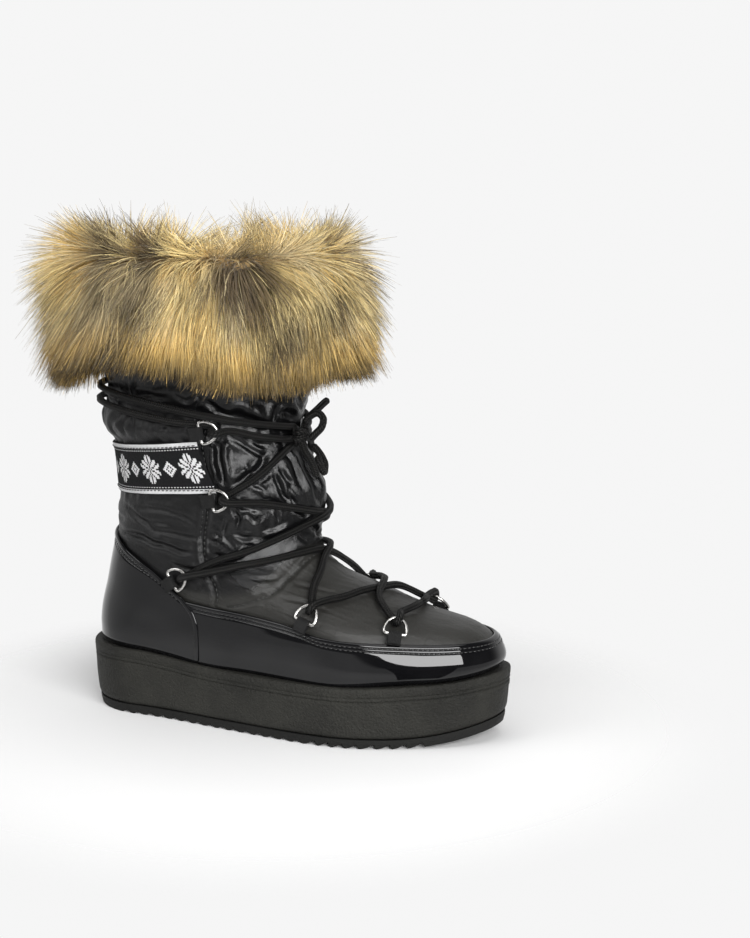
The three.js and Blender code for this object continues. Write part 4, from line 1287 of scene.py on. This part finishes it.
def band_chart():
    """1 where a pale yarn shows: edges of EDGE_ROWS, then stars and diamonds."""
    chart = np.zeros((BAND_ROWS, BAND_COLUMNS), int)
    chart[1:EDGE_ROWS] = 1
    chart[-EDGE_ROWS:-1] = 1
    chart[[EDGE_ROWS + 2, -EDGE_ROWS - 3]] = np.arange(BAND_COLUMNS) % 4 < 2
    star, diamond = motif(STAR), motif(DIAMOND)
    step = star.shape[1] + diamond.shape[1] + 10
    for shape, offset in ((star, 4), (diamond, star.shape[1] + 9)):
        high, wide = shape.shape
        top = (BAND_ROWS - high) // 2
        for left in range(offset, BAND_COLUMNS - wide, step):
            chart[top:top + high, left:left + wide] |= shape
    return chart


def band_surface():
    """The strip between its edges, crowned by 0.25 mm and ribbed at every yarn."""
    angles = np.linspace(BAND_ANGLE, 360 - BAND_ANGLE, BAND_COLUMNS + 1)
    share = np.linspace(0, 1, BAND_ROWS + 1)[:, None]
    low = read(BAND_EDGES, np.abs(180 - angles), 1)
    high = read(BAND_EDGES, np.abs(180 - angles), 2)
    height = low + (high - low) * share
    slow = soft_noise(angles[None] / 9 + 0 * share, share * 3 + 0 * angles, 5) - 0.5
    out = 0.05 + 0.25 * np.sin(np.pi * share) + 0.9 * slow
    out = out + 0.06 * (np.arange(BAND_COLUMNS + 1) % 2)[None] - 0.25 * (np.abs(share - 0.5) > 0.498)
    return angles[None] + 0 * height, height, out


band_angle, band_height, band_out = band_surface()
face = on_form(band_angle, band_height, band_out)
back = on_form(band_angle[[0, -1]], band_height[[0, -1]], BAND_BACK)
loops = np.swapaxes(np.concatenate([face, back[::-1]]), 0, 1)
rows = loops.shape[1]
band_quads = grid_faces(BAND_COLUMNS + 1, rows, close_columns=True)
yarn = np.zeros((BAND_COLUMNS, rows), int)
yarn[:, :BAND_ROWS] = band_chart().T


def yarn_finish(name, dark, light, rough):
    """Ribbed yarn: ribs across the tape at every cell, and fluff."""
    made = material(name, light, rough, Specular_IOR_Level=0.2)
    across, along = pattern_of(made)
    rib = calc(made, "SINE", calc(made, "MULTIPLY", across, 2 * math.pi))
    pick = calc(made, "SINE", calc(made, "MULTIPLY", along, 2 * math.pi))
    fluff = noise(made, place_of(made), 1500.0, 3.0)
    height = calc(made, "ADD", calc(made, "MULTIPLY", rib, pick), fluff)
    # Painted shade: the colour follows the weave's height, darker in the grooves between crossings and
    # lighter on their crowns.
    colour = ramp(made, spread(made, height, -0.6, 1.6, 0.0, 1.0), [(0.1, dark), (0.8, light)])
    wire(made, Base_Color=colour, Roughness=spread(made, fluff, 0.3, 0.7, rough - 0.1, rough + 0.1),
         Normal=bump(made, height, 0.00012, 0.8))
    return made


BLACK_YARN = yarn_finish("yarn_black", (0.002, 0.002, 0.0023), (0.008, 0.008, 0.009), 0.75)
PALE_YARN = yarn_finish("yarn_pale", (0.42, 0.42, 0.43), (0.86, 0.86, 0.86), 0.7)
band_uv = np.stack(np.meshgrid(np.arange(BAND_COLUMNS + 1) + 0.5, np.arange(rows) + 0.5, indexing="ij"), -1)
band = add_piece("woven_tape", loops, band_quads, [BLACK_YARN, PALE_YARN], band_uv, which=yarn.ravel())
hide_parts("woven_band")

# %% [markdown]
# Each ring is bent from steel wire into a D and hangs in a folded tab sewn to
# the boot. Its frame sits on the last: the bow points up or forward, and the
# wire is a round section carried along the D.

# %% Rings and tabs
WIRE_RADIUS, WIRE_AROUND, RING_HALF_WIDTH, RING_DEPTH = 1.0, 10, 6.8, 10.5
TAB_WIDTH, TAB_LENGTH, TAB_THICK = 8.0, 7.0, 0.8


def ring_frame(index, side):
    """Origin on the last, and unit vectors along the bar, the bow and outwards."""
    degrees, high, lean = (float(value) for value in RINGS[index])
    origin = on_form(side * degrees, high, RING_LIFT)
    out = outward(side * degrees, high)
    forward = form(side * (degrees - 1.0), high) - form(side * (degrees + 1.0), high)
    forward = unit(forward - out * (forward @ out))
    up = np.cross(out, forward) * -side
    up = -up if up[2] < 0 else up
    lean = math.radians(lean)
    bow = up * math.cos(lean) + forward * math.sin(lean)
    return origin, np.cross(bow, out), bow, out


def in_ring(frame_of, across, away, lift):
    """A point of a ring's frame: along the bar, towards the bow, outwards."""
    origin, bar, bow, out = frame_of
    across, away, lift = np.broadcast_arrays(across, away, lift)
    return origin + across[..., None] * bar + away[..., None] * bow + lift[..., None] * out


def ring_body(frame_of):
    """Wire along a D: a straight bar, two tight corners and a half ellipse."""
    t = np.radians(np.linspace(0, 180, 34))
    arc = np.stack([RING_HALF_WIDTH * np.cos(t), 1.5 + (RING_DEPTH - 1.5) * np.sin(t)], -1)
    left = np.array([(-6.5, 0.6), (-5.8, 0.06)])
    bar = np.stack([np.linspace(-5, 5, 6), np.zeros(6)], -1)
    path = np.concatenate([arc, left, bar, -left[::-1] * (1, -1)])
    tangent = unit(np.roll(path, -1, 0) - np.roll(path, 1, 0))
    side = np.stack([tangent[:, 1], -tangent[:, 0]], -1)
    t = 2 * np.pi * (np.arange(WIRE_AROUND) + 0.5) / WIRE_AROUND
    across = path[:, :1] + side[:, :1] * WIRE_RADIUS * np.cos(t)
    away = path[:, 1:] + side[:, 1:] * WIRE_RADIUS * np.cos(t)
    points = in_ring(frame_of, across, away, WIRE_RADIUS * np.sin(t)[None] + 0 * across)
    quads = grid_faces(len(path), WIRE_AROUND, close_rows=True, close_columns=True)
    return points, outward_quads(points, quads), np.zeros((*points.shape[:2], 2))


def tab_body(frame_of):
    """A strip folded round the bar; its two tails run back and close together."""
    t = np.radians(np.linspace(90, -90, 11))
    inner = WIRE_RADIUS + 0.15
    back = np.linspace(-TAB_LENGTH, -0.8, 7)
    squeeze = 0.35 + 0.65 * ease((back + 5.5) / 5)

    def fold(radius, gap):
        upper = np.stack([back, gap + (radius - gap) * squeeze], -1)
        lower = np.stack([back, -gap - (radius - gap) * squeeze], -1)
        bend = np.stack([radius * np.cos(t), radius * np.sin(t)], -1)
        return np.concatenate([upper, bend, lower[::-1]])
    outer, inside = fold(inner + TAB_THICK, TAB_THICK + 0.1), fold(inner, 0.1)
    section = np.concatenate([outer, inside[::-1]])
    widths = np.array([-1, -0.96, -0.8, 0, 0.8, 0.96, 1]) * TAB_WIDTH / 2
    thin = np.array([0.8, 0.95, 1, 1, 1, 0.95, 0.8])
    middle = (outer + inside) / 2
    centre = np.concatenate([middle, middle[::-1]])
    shape = centre[None] + (section - centre)[None] * thin[:, None, None]
    points = in_ring(frame_of, widths[:, None], shape[..., 0], shape[..., 1])
    quads = np.concatenate([grid_faces(len(widths), len(section), close_columns=True),
                            end_faces(len(widths), len(section))])
    uv = np.stack(np.broadcast_arrays(widths[:, None], np.arange(len(section))[None] * 0.5), -1)
    return points, outward_quads(points, quads), uv


def steel_finish():
    """Polished wire: faint draw marks, small nicks and a slightly warm tint."""
    made = material("steel_wire", (0.62, 0.61, 0.59), 0.22, Metallic=1.0)
    nicks = noise(made, place_of(made), 900.0, 4.0, 0.65)
    colour = ramp(made, nicks, [(0.3, (0.42, 0.41, 0.39)), (0.7, (0.74, 0.73, 0.71))])
    wire(made, Base_Color=colour, Roughness=spread(made, nicks, 0.3, 0.7, 0.14, 0.34),
         Normal=bump(made, nicks, 0.0001, 0.4))
    return made


def webbing_finish():
    """Black webbing: cross ribs from the pattern map, with a little fluff."""
    made = material("webbing", (0.010, 0.010, 0.010), 0.6, Specular_IOR_Level=0.25)
    across, along = pattern_of(made)
    rib = calc(made, "SINE", calc(made, "MULTIPLY", along, 9.0))
    twill = calc(made, "SINE", calc(made, "MULTIPLY", calc(made, "ADD", across, along), 7.0))
    fluff = noise(made, place_of(made), 1800.0, 3.0)
    height = calc(made, "ADD", calc(made, "MULTIPLY", rib, twill), fluff)
    # Painted shade: the colour follows the ribs' height, darker in the grooves and lighter on the ribs.
    colour = ramp(made, spread(made, height, -0.6, 1.6, 0.0, 1.0),
                  [(0.1, (0.002, 0.002, 0.002)), (0.9, (0.012, 0.012, 0.012))])
    wire(made, Base_Color=colour, Roughness=spread(made, fluff, 0.3, 0.7, 0.5, 0.7),
         Normal=bump(made, height, 0.0002, 0.8))
    return made


# shape, name, finish and slot
RING_PARTS = [
    (ring_body, "ring", steel_finish(), "steel"),
    (tab_body, "tab", webbing_finish(), "tab_leather"),
]
for index in range(len(RINGS)):
    for side, word in ((1, "outer"), (-1, "inner")):
        place = ring_frame(index, side)
        for body, name, finish, slot in RING_PARTS:
            points, quads, uv = body(place)
            piece = add_piece(f"d{name}_{index + 1}_{word}", points, quads, [finish], uv, closed=False)
            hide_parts(f"{name}_{index + 1}_{word}")

# %% [markdown]
# The lacing is two runs of one cord. Each run crosses the foot from ring to ring
# and turns round the wire at every ring: it comes in over the bow, dips through
# the ring and leaves under the wire. Where the runs cross, one is lifted by
# about a cord's width over the other.

# %% Laces
LEG_STATION = 85.0
LACING_STEP = 1.25
WRAP_LIFT = LACE_LIFT - 0.3


def span(name, side, lift_at_crossing=0.0):
    """Points of one span on the last; its middle is lifted near angle 0."""
    route = np.array(LACES[name], float)
    lift = LACE_LIFT + lift_at_crossing * np.exp(-((route[:, 0] / 11) ** 2))
    return on_form(side * route[:, 0], route[:, 1], lift)


def turn_at(index, side, enter, leave):
    """Over the bow, through the ring and out under it, each nearer to its span."""
    place = ring_frame(index, side)
    origin, bar, _, _ = place
    lean_in = 2.2 * np.sign((enter - origin) @ bar)
    lean_out = 2.2 * np.sign((leave - origin) @ bar)
    return np.array([
        in_ring(place, 0.7 * lean_in, 10.2, 3.3), in_ring(place, 0.3 * (lean_in + lean_out), 6.6, 0.6),
        in_ring(place, 0.7 * lean_out, 10.0, -2.3)])


def chain(*parts):
    """Spans and ring turns, each turned to start where the last one ended."""
    path = [parts[0]]
    for part in parts[1:]:
        end = path[-1][-1]
        flip = np.linalg.norm(part[-1] - end) < np.linalg.norm(part[0] - end)
        path.append(part[::-1] if flip else part)
    return path


def whole_run(side):
    """Toe bar, ring 1, low, ring 2, middle, ring 3, high, ring 4, riser, knot."""
    over = 2.3 if side > 0 else -1.7
    parts = chain(span("toe_bar", side)[:4][::-1], span("low", -side, over), span("middle", side, -over),
                  span("high", side, over), span("riser", -side, 0.0))
    turns = [(0, side), (1, -side), (2, side), (3, -side)]
    route = [parts[0][:-1]]
    for (index, ring_side), before, after in zip(turns, parts[:-1], parts[1:]):
        route.append(turn_at(index, ring_side, before[-2], after[1]))
        route.append(after[1:-1])
    route.append(KNOT_AT[None] + (-3.0, -1.5 * side, -2.0))
    return np.concatenate(route)


def follow(points):
    """Directions out from the leg's axis and a little up, for each point of a route."""
    angle = np.arctan2(-points[:, 1], points[:, 0] - LEG_STATION)
    return unit(np.stack([np.cos(angle), -np.sin(angle), 0.5 + 0 * angle], -1))


lacing = []
for side in SIDES:
    route = smooth_route(whole_run(side), LACING_STEP)
    lacing.append(cord_body(route, follow(route), LACING_AROUND))
    print("run", side, round(route_length(route)), "mm")
points, quads, uv = join(lacing)
runs = add_piece("lacing", points, quads, [LACE], uv, closed=False)
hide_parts("lace_bar_toe", "lace_cross_low", "lace_cross_middle", "lace_cross_high")


def turn_round_leg(name):
    """A turn of the lace round the back of the shaft, from front to front."""
    route = np.array(LACES[name], float)
    other = route[::-1][1:] * (-1, 1) + (360, 0)
    even = even_route(np.concatenate([route, other]), 1, step=1.5)
    return on_form(even[:, 0], even[:, 1], WRAP_LIFT)


upper, lower = turn_round_leg("wrap_upper"), turn_round_leg("wrap_lower")
ends = KNOT_AT + np.array([(-1.0, -4.0, 1.0)]), KNOT_AT + np.array([(-1.0, 4.0, 1.0)])
wrap_routes = [np.concatenate([ends[0], upper[1:-1:4], ends[1]])]
for side in SIDES:
    front = span("wrap_front", side)
    last_turn = turn_at(4, side, front[0], on_form(side * 84.0, 191.0, LACE_LIFT))
    half = lower[::side][: len(lower) // 2 + 2]
    wrap_routes.append(np.concatenate([KNOT_AT[None] + (-1.5, -3.0 * side, -1.0), front[::-1][1:], last_turn,
                                       half[1::4], half[-1:]]))
points, quads, uv = join([cord_body(smooth_route(route, LACING_STEP), (0, 0, 1.0), LACING_AROUND)
                          for route in wrap_routes])
turns = add_piece("lace_turns", points, quads, [LACE], uv, closed=False)
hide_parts("lace_yoke", "lace_wrap_upper", "lace_wrap_lower")

# %% [markdown]
# The knot is not a ball but the cord itself: turns laid round the crossing and
# drawn down over one another, so it is three short tubes wound round the
# knot's middle.

# %% Knot
def knot_turn(phase, size, tilt):
    """Closed-looking winding: x = a cos t, y = b sin t, z = c sin(t + tilt)."""
    t = np.linspace(0, 1.75 * np.pi, 40) + phase
    offset = np.stack([size[0] * np.cos(t), size[1] * np.sin(t), size[2] * np.sin(t + tilt)], -1)
    return KNOT_AT + offset + (0.6, 0, 0)


# phase, size and tilt of each turn, and the direction that its section is upright to
KNOT_TURNS = [
    (0.4, (2.6, 2.6, 4.4), 1.4, (0, 0.3, 1.0)),
    (2.2, (3.0, 4.6, 1.6), 0.6, (0.2, 0, 1.0)),
    (4.2, (2.4, 3.4, 3.2), 2.6, (0.1, 0.2, 1.0)),
]
points, quads, uv = join([cord_body(knot_turn(*shape), upwards, LACING_AROUND)
                          for *shape, upwards in KNOT_TURNS])
knot = add_piece("bow_knot", points, quads, [LACE], uv, closed=False)
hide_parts("lace_knot")

# %% [markdown]
# Rows of lockstitch hold the panels. Each visible stitch is a short grain of
# thread that dives into the cloth at both ends, and they repeat hundreds of
# times, so one grain of a few faces is laid along every row in a single mesh.

# %% Stitches
# along the stitch from -1 to 1, its thickness there, and its lift off the cloth
GRAIN = np.array([(-1.0, 0.25, -0.35), (-0.6, 0.9, 0.25), (0.6, 0.9, 0.25), (1.0, 0.25, -0.35)])
THREAD = 0.42


def stitch_row(line, outwards, pitch=3.0, filled=0.72):
    """Grains along a line: centre + u (pitch filled / 2) along + thread circle."""
    run = run_along(line)
    at = np.arange(pitch / 2, run[-1] - pitch / 2, pitch)[:, None] + GRAIN[:, 0] * pitch * filled / 2
    centre = np.stack([np.interp(at, run, line[:, k]) for k in range(3)], -1)
    normal = unit(np.stack([np.interp(at, run, outwards[:, k]) for k in range(3)], -1))
    along = unit(centre[:, -1:] - centre[:, :1])
    across = unit(np.cross(along, normal))
    turn = np.radians([45, 135, 225, 315])
    circle = across[:, :, None] * np.cos(turn)[:, None] + normal[:, :, None] * np.sin(turn)[:, None]
    points = centre[:, :, None] + normal[:, :, None] * (GRAIN[:, 2] * THREAD + 0.16)[:, None, None]
    points = points + circle * (THREAD * GRAIN[:, 1])[:, None, None]
    one = np.concatenate([grid_faces(len(GRAIN), 4, close_columns=True), end_faces(len(GRAIN), 4)])
    quads = one[None] + (4 * len(GRAIN) * np.arange(len(centre)))[:, None, None]
    return points, quads.reshape(-1, 4), np.zeros((points.size // 3, 2))


def hem_rows(angles, tops, skin):
    """Rows of stitches on an overlay, one in each groove under its top edge."""
    face, _ = overlay_points(angles, tops, skin)
    return [stitch_row(face[int(np.argmin(np.abs(HEM_STEPS - below)))], outward(angles, tops - below))
            for below in STITCH_DEPTHS]


def shell_line(route, side, shift=0.0):
    """A line on the quilted shell: its grid read between four points."""
    even = even_route(route, side, shift)
    column = (even[:, 0] % 360) / 360 * SHELL_COLUMNS - 0.5
    row = np.interp(even[:, 1], SHELL_ROWS, np.arange(len(SHELL_ROWS)))
    i, j = np.floor(row).astype(int), np.floor(column).astype(int)
    s, t = (row - i)[:, None], (column - j)[:, None]
    grid = nylon_points.reshape(len(SHELL_ROWS), SHELL_COLUMNS, 3)
    i2, j2 = np.minimum(i + 1, len(SHELL_ROWS) - 1), (j + 1) % SHELL_COLUMNS
    j = j % SHELL_COLUMNS
    line = (grid[i, j] * (1 - s) + grid[i2, j] * s) * (1 - t) + (grid[i, j2] * (1 - s) + grid[i2, j2] * s) * t
    return line, outward(even[:, 0], even[:, 1])


angles = np.linspace(-SEAM_ANGLE + 2, SEAM_ANGLE - 2, 400)
rows = hem_rows(angles, read(MUDGUARD_TOP, np.abs(angles), 1), MUDGUARD_SKIN)
angles = np.linspace(SEAM_ANGLE + 2, 360 - SEAM_ANGLE - 2, 300)
rows += hem_rows(angles, read(COUNTER_TOP, np.abs(180 - angles), 1), COUNTER_SKIN)
for side in SIDES:
    for route, shift in ((SIDE_SEAM, -1.3), (SIDE_SEAM, 1.3), (VAMP_SEAM, 0.0)):
        rows.append(stitch_row(*shell_line(route, side, shift), pitch=3.4))
angles = np.linspace(BAND_ANGLE + 1, 360 - BAND_ANGLE - 1, 300)
for column, shift in ((1, 2.6), (2, -2.6)):
    heights = read(BAND_EDGES, np.abs(180 - angles), column) + shift
    rows.append(stitch_row(on_form(angles, heights, 0.35), outward(angles, heights)))
points, quads, _ = join(rows)


def thread_finish():
    """Waxed black thread with a twist of fine noise."""
    made = material("thread_waxed", (0.02, 0.02, 0.02), 0.25)
    twist = noise(made, place_of(made), 3000.0, 2.0)
    colour = ramp(made, twist, [(0.3, (0.010, 0.010, 0.010)), (0.7, (0.035, 0.035, 0.034))])
    wire(made, Base_Color=colour, Roughness=spread(made, twist, 0.3, 0.7, 0.18, 0.35))
    return made


add_piece("stitching", points, quads, [thread_finish()], closed=False)

# %% [markdown]
# The cuff is long faux fur on a cloth band: a dense underfur and longer guard
# hairs. Hair curves would not survive as a mesh, so every strand is a ribbon of
# four cross lines that narrows to its tip, built for all strands at once. Roots
# lie on a smaller cuff; each strand starts along the root's normal and is bent
# down by its own weight, and neighbours share a lean so that they fall in locks.

# %% Fur roots
# share of the way over the cuff, from the lower hem to the inside; height; distance out
FUR_BASE = np.array([
    (0.00, 236, 2), (0.12, 233, 7), (0.26, 239, 12), (0.42, 251, 14.5), (0.58, 265, 14.5),
    (0.72, 279, 12), (0.84, 289, 8), (0.93, 291, 3.5), (1.00, 284, 1)])
# how far down the tips reach, by angle
FUR_HEM = np.array([
    (0, 221), (20, 215), (38, 212), (59, 213), (74, 221), (104, 226), (130, 220), (152, 207), (180, 214),
    (215, 219), (250, 214), (290, 218), (325, 212), (340, 213), (360, 221)])
FUR_RNG = np.random.default_rng(23)


def cuff_point(angle, share):
    """Point of the cuff's base at an angle and a share of the way over it."""
    high = read(FUR_BASE, share, 1)
    out = read(FUR_BASE, share, 2)
    point = on_form(angle, np.minimum(high, COLLAR), out)
    point[..., 2] = high
    return point


def cuff_normal(angle, share):
    """Cross product of the base's run over the cuff and its run round it."""
    over = cuff_point(angle, np.minimum(share + 0.01, 1)) - cuff_point(angle, np.maximum(share - 0.01, 0))
    around = cuff_point(angle + 1, share) - cuff_point(angle - 1, share)
    normal = unit(np.cross(over, around))
    middle = form(0.0, COLLAR) * (0.5, 0.5, 0) + form(180.0, COLLAR) * (0.5, 0.5, 0)
    level = cuff_point(angle, share) - middle - (0, 0, COLLAR)
    return normal * np.sign((normal * level).sum(-1).mean() + 1e-9)


# tufts by angle and share: their reach in degrees, extra length, and how dark they are
TUFTS = np.array([
    (156, 0.22, 15, 11, 0.25), (150, 0.44, 10, 3, 0.0), (-24, 0.20, 13, 8, 0.35), (152, 0.80, 13, 12, 0.0),
    (118, 0.86, 8, 5, 0.9), (94, 0.90, 8, 3, 1.0), (54, 0.76, 11, 3, 1.0), (75, 0.80, 20, -5, 0.0),
    (98, 0.66, 8, 0, 0.7), (40, 0.55, 7, 0, 0.8), (20, 0.62, 8, 2, 0.5), (120, 0.58, 7, 0, 0.5),
    (-60, 0.70, 14, 3, 0.8), (-120, 0.60, 13, 0, 0.8), (-150, 0.78, 12, 4, 0.9), (0, 0.82, 10, 5, 0.4)])


def tuft_sum(angle, share, column):
    """Sum over tufts of value e^-(angle/reach)^2 e^-(share off/0.11)^2."""
    off = (angle[:, None] - TUFTS[:, 0] + 180) % 360 - 180
    near = np.exp(-((off / TUFTS[:, 2]) ** 2)) * np.exp(-(((share[:, None] - TUFTS[:, 1]) / 0.11) ** 2))
    return (near * TUFTS[:, column]).sum(1)


def locks(angle, share, layer, size=1.0):
    """Slow noise from -1 to 1 over the cuff, for the lean and colour of locks."""
    around = angle / (7.5 * size)
    return 2 * soft_noise(around, share * 9 / size + 3 * layer, layer) - 1


# %% Fur strands
SEGMENTS = 3
# lowest and highest share over the cuff, and how many strands
BANDS = [(0.02, 0.20, 15500), (0.16, 0.36, 19000), (0.32, 0.56, 20500), (0.50, 0.78, 19500),
         (0.72, 1.0, 12000)]
# from root to tip: width, blackness of the tips and of the fringe, and painted shade that darkens the roots
TAPER, TIP_BLACK = np.array([1.0, 0.95, 0.75, 0.3]), np.array([0.0, 0.0, 0.3, 0.9])
FRINGE_BLACK, PAINTED_ROOT_SHADE = np.array([0.5, 0.8, 1.0, 1.0]), np.array([0.6, 0.95, 1.0, 1.0])
CREAM, GOLD = np.array([0.97, 0.79, 0.38]), np.array([0.93, 0.59, 0.145])
GREY, BROWN = np.array([0.66, 0.56, 0.36]), np.array([0.06, 0.034, 0.017])
BLACK = np.array([0.008, 0.006, 0.005])
BRIGHTEST = 0.97


def strand_shapes(angle, share, count):
    """Length, first direction and fall of each strand.

    Direction = normal + downward comb + lean of the lock + a little chance.
    The path is root + t L direction + t^2 (fall), for t from 0 to 1."""
    root = cuff_point(angle, share)
    normal = cuff_normal(angle, share)
    around = unit(np.cross(normal, np.array([0, 0, 1.0])) + 1e-6)
    down = np.cross(normal, around)
    down = down * np.where(down[:, 2:] > 0, -1, 1)
    top = ease((share - 0.64) / 0.27)
    hem = 1 - ease(share / 0.34)
    comb = 0.85 - 0.62 * top - 1.25 * hem + (0.3 + 0.5 * top) * locks(angle, share, 0, 1.3)
    lean = (0.6 + 0.5 * top) * locks(angle, share, 1) + 0.45 * locks(angle, share, 2, 0.45)
    chance = FUR_RNG.normal(0, 0.17, (count, 3))
    direct = unit(normal * (0.85 + 0.25 * top)[:, None] + down * comb[:, None] + around * lean[:, None]
                  + chance)
    guard = FUR_RNG.random(count) < 0.35
    length = FUR_RNG.normal(22.5, 3.6, count) + 7 * guard + (3.5 + 3 * top) * locks(angle, share, 3, 0.8)
    length = length * (1 - 0.34 * hem + 0.1 * top - 0.3 * ease((share - 0.86) / 0.1))
    length = np.clip(length + tuft_sum(angle, share, 3), 9, 46)
    drop = length * (0.48 - 0.34 * top - 0.16 * hem)
    fall = (0, 0, -1) * drop[:, None] + around * (0.22 * length * locks(angle, share, 4))[:, None]
    return root, direct, length, fall, guard, normal


def strand_colours(angle, share, guard, above, count):
    """Colour at each point of each strand, from the lock it is in and its height.

    Fur = cream, grey and gold by slow noise, brown in the dark tufts; gold grows
    within 33 mm of the hem and black within 15 mm of it and towards the tips."""
    patch = ease((locks(angle, share, 5, 1.2) + 0.45 * locks(angle, share, 2, 0.5) - 0.55) / 0.35)
    patch = np.maximum(patch * ease((share - 0.2) / 0.15), (1.5 * tuft_sum(angle, share, 4)).clip(0, 1))
    patch = patch * (FUR_RNG.random(count) < 0.96)
    cool = ease((locks(angle, share, 3, 1.1) + 0.1) / 0.8)
    warm = np.clip(0.1 + 0.5 * locks(angle, share, 4, 0.7), 0, 1)
    middle = CREAM + (GOLD - CREAM) * warm[:, None]
    middle = middle + (GREY - middle) * (0.7 * cool)[:, None]
    middle = middle + (BROWN - middle) * (0.9 * patch)[:, None]
    middle = middle * np.clip(FUR_RNG.normal(1.2, 0.34, (count, 1)), 0.3, 1.7)
    low = 0.85 * (1 - ease((above - 9) / 24)) * (1 - patch)[:, None]
    shade = np.clip(FUR_RNG.normal(1.1, 0.25, (count, 1, 1)), 0.5, 1.5)
    colour = middle[:, None] + (GOLD * shade - middle[:, None]) * low[..., None]
    ends = TIP_BLACK * np.where(guard, 0.95, 0.45 * (FUR_RNG.random(count) < 0.6))[:, None]
    fringe = 0.95 * (1 - ease((above - 3.0) / 12)) * (FUR_RNG.random(count) < 0.85)[:, None]
    colour = colour + (BLACK - colour) * np.maximum(ends, fringe * FRINGE_BLACK)[..., None]
    # Painted shade: each strand is darkened towards its root, where the pile shades itself.
    colour = colour * PAINTED_ROOT_SHADE[:, None]
    return colour * np.minimum(1, BRIGHTEST / colour.max(-1, keepdims=True))


def fur_band(low, high, count):
    """Ribbons of one band of roots: points, quads and a colour at each point."""
    angle = FUR_RNG.random(count) * 360
    share = low + (high - low) * FUR_RNG.random(count)
    root, direct, length, fall, guard, normal = strand_shapes(angle, share, count)
    t = (np.arange(SEGMENTS + 1) / SEGMENTS)[None, :, None]
    path = root[:, None] + direct[:, None] * length[:, None, None] * t + fall[:, None] * t**2
    hem_height = read(FUR_HEM, angle, 1)
    hem = hem_height + FUR_RNG.normal(0, 2.6, count)
    depth = np.maximum(root[:, 2] - path[:, -1, 2], 1e-3)
    shrink = np.where(depth > 1, np.clip((root[:, 2] - hem) / depth, 0.12, 1), 1)
    path[..., 2] = root[:, None, 2] + (path[..., 2] - root[:, None, 2]) * shrink[:, None]
    tangent = unit(np.gradient(path, axis=1))
    roll = FUR_RNG.normal(0, 0.5, (count, 3))
    across = unit(np.cross(tangent, (normal + roll)[:, None]))
    wide = (np.where(guard, 0.19, 0.235) * FUR_RNG.uniform(0.8, 1.25, count))[:, None, None]
    wide = wide * TAPER[None, :, None]
    points = np.stack([path - across * wide, path + across * wide], 2)
    first = (np.arange(count) * 2 * (SEGMENTS + 1))[:, None, None] + (2 * np.arange(SEGMENTS))[None, :, None]
    quads = (first + np.array([0, 1, 3, 2])[None, None]).reshape(-1, 4)
    above = path[..., 2] - hem_height[:, None]
    colours = np.repeat(strand_colours(angle, share, guard, above, count)[:, :, None], 2, 2)
    return points.reshape(-1, 3), quads, colours.reshape(-1, 3)


def fur_finish():
    """Strand colour from the mesh, a soft shine along the strand."""
    made = material("fur_long", (0.5, 0.4, 0.25), 0.5, Specular_IOR_Level=0.35, Sheen_Weight=0.1)
    shade = noise(made, place_of(made), 160.0, 3.0)
    cloud = ramp(made, shade, [(0.25, (0.62, 0.60, 0.58)), (0.75, (1.0, 1.0, 1.0))])
    colour = node(made, "ShaderNodeMix", {"data_type": "RGBA", "blend_type": "MULTIPLY"}, i0=0.5,
                  i6=attribute(made, "strand", "Color"), i7=cloud)
    wire(made, Base_Color=colour.outputs[2], Roughness=spread(made, shade, 0.2, 0.8, 0.42, 0.6))
    return made


FUR = fur_finish()
for number, (low, high, count) in enumerate(BANDS):
    points, quads, colours = fur_band(low, high, count)
    band_piece = add_piece(f"fur_{number + 1}", points, quads, [FUR],
                           attributes={"strand": colours}, closed=False)
    if number == 0:
        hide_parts("fur_cuff")

# the cloth that the strands are rooted in, coloured as the underfur with painted shade: a dark beige, darker
# than the strands, for the shaded depths of the pile
UNDERFUR_WITH_PAINTED_SHADE = (0.30, 0.20, 0.08)
ring_angle = np.linspace(0, 360, 180, endpoint=False)[:, None]
ring_share = np.linspace(0, 1, 30)[None]
base = cuff_point(ring_angle + 0 * ring_share, ring_share + 0 * ring_angle)
base_in = on_form(ring_angle, np.linspace(COLLAR, 233, 8)[None], 0.4)
base_in[..., 2] = np.linspace(276, 234, 8)[None]
loops = np.concatenate([base, base_in], 1)
cuff_quads = grid_faces(*loops.shape[:2], close_rows=True, close_columns=True)
under = np.tile(UNDERFUR_WITH_PAINTED_SHADE, (loops.shape[0] * loops.shape[1], 1))
cuff = add_piece("fur_backing", loops, cuff_quads, [FUR], attributes={"strand": under})
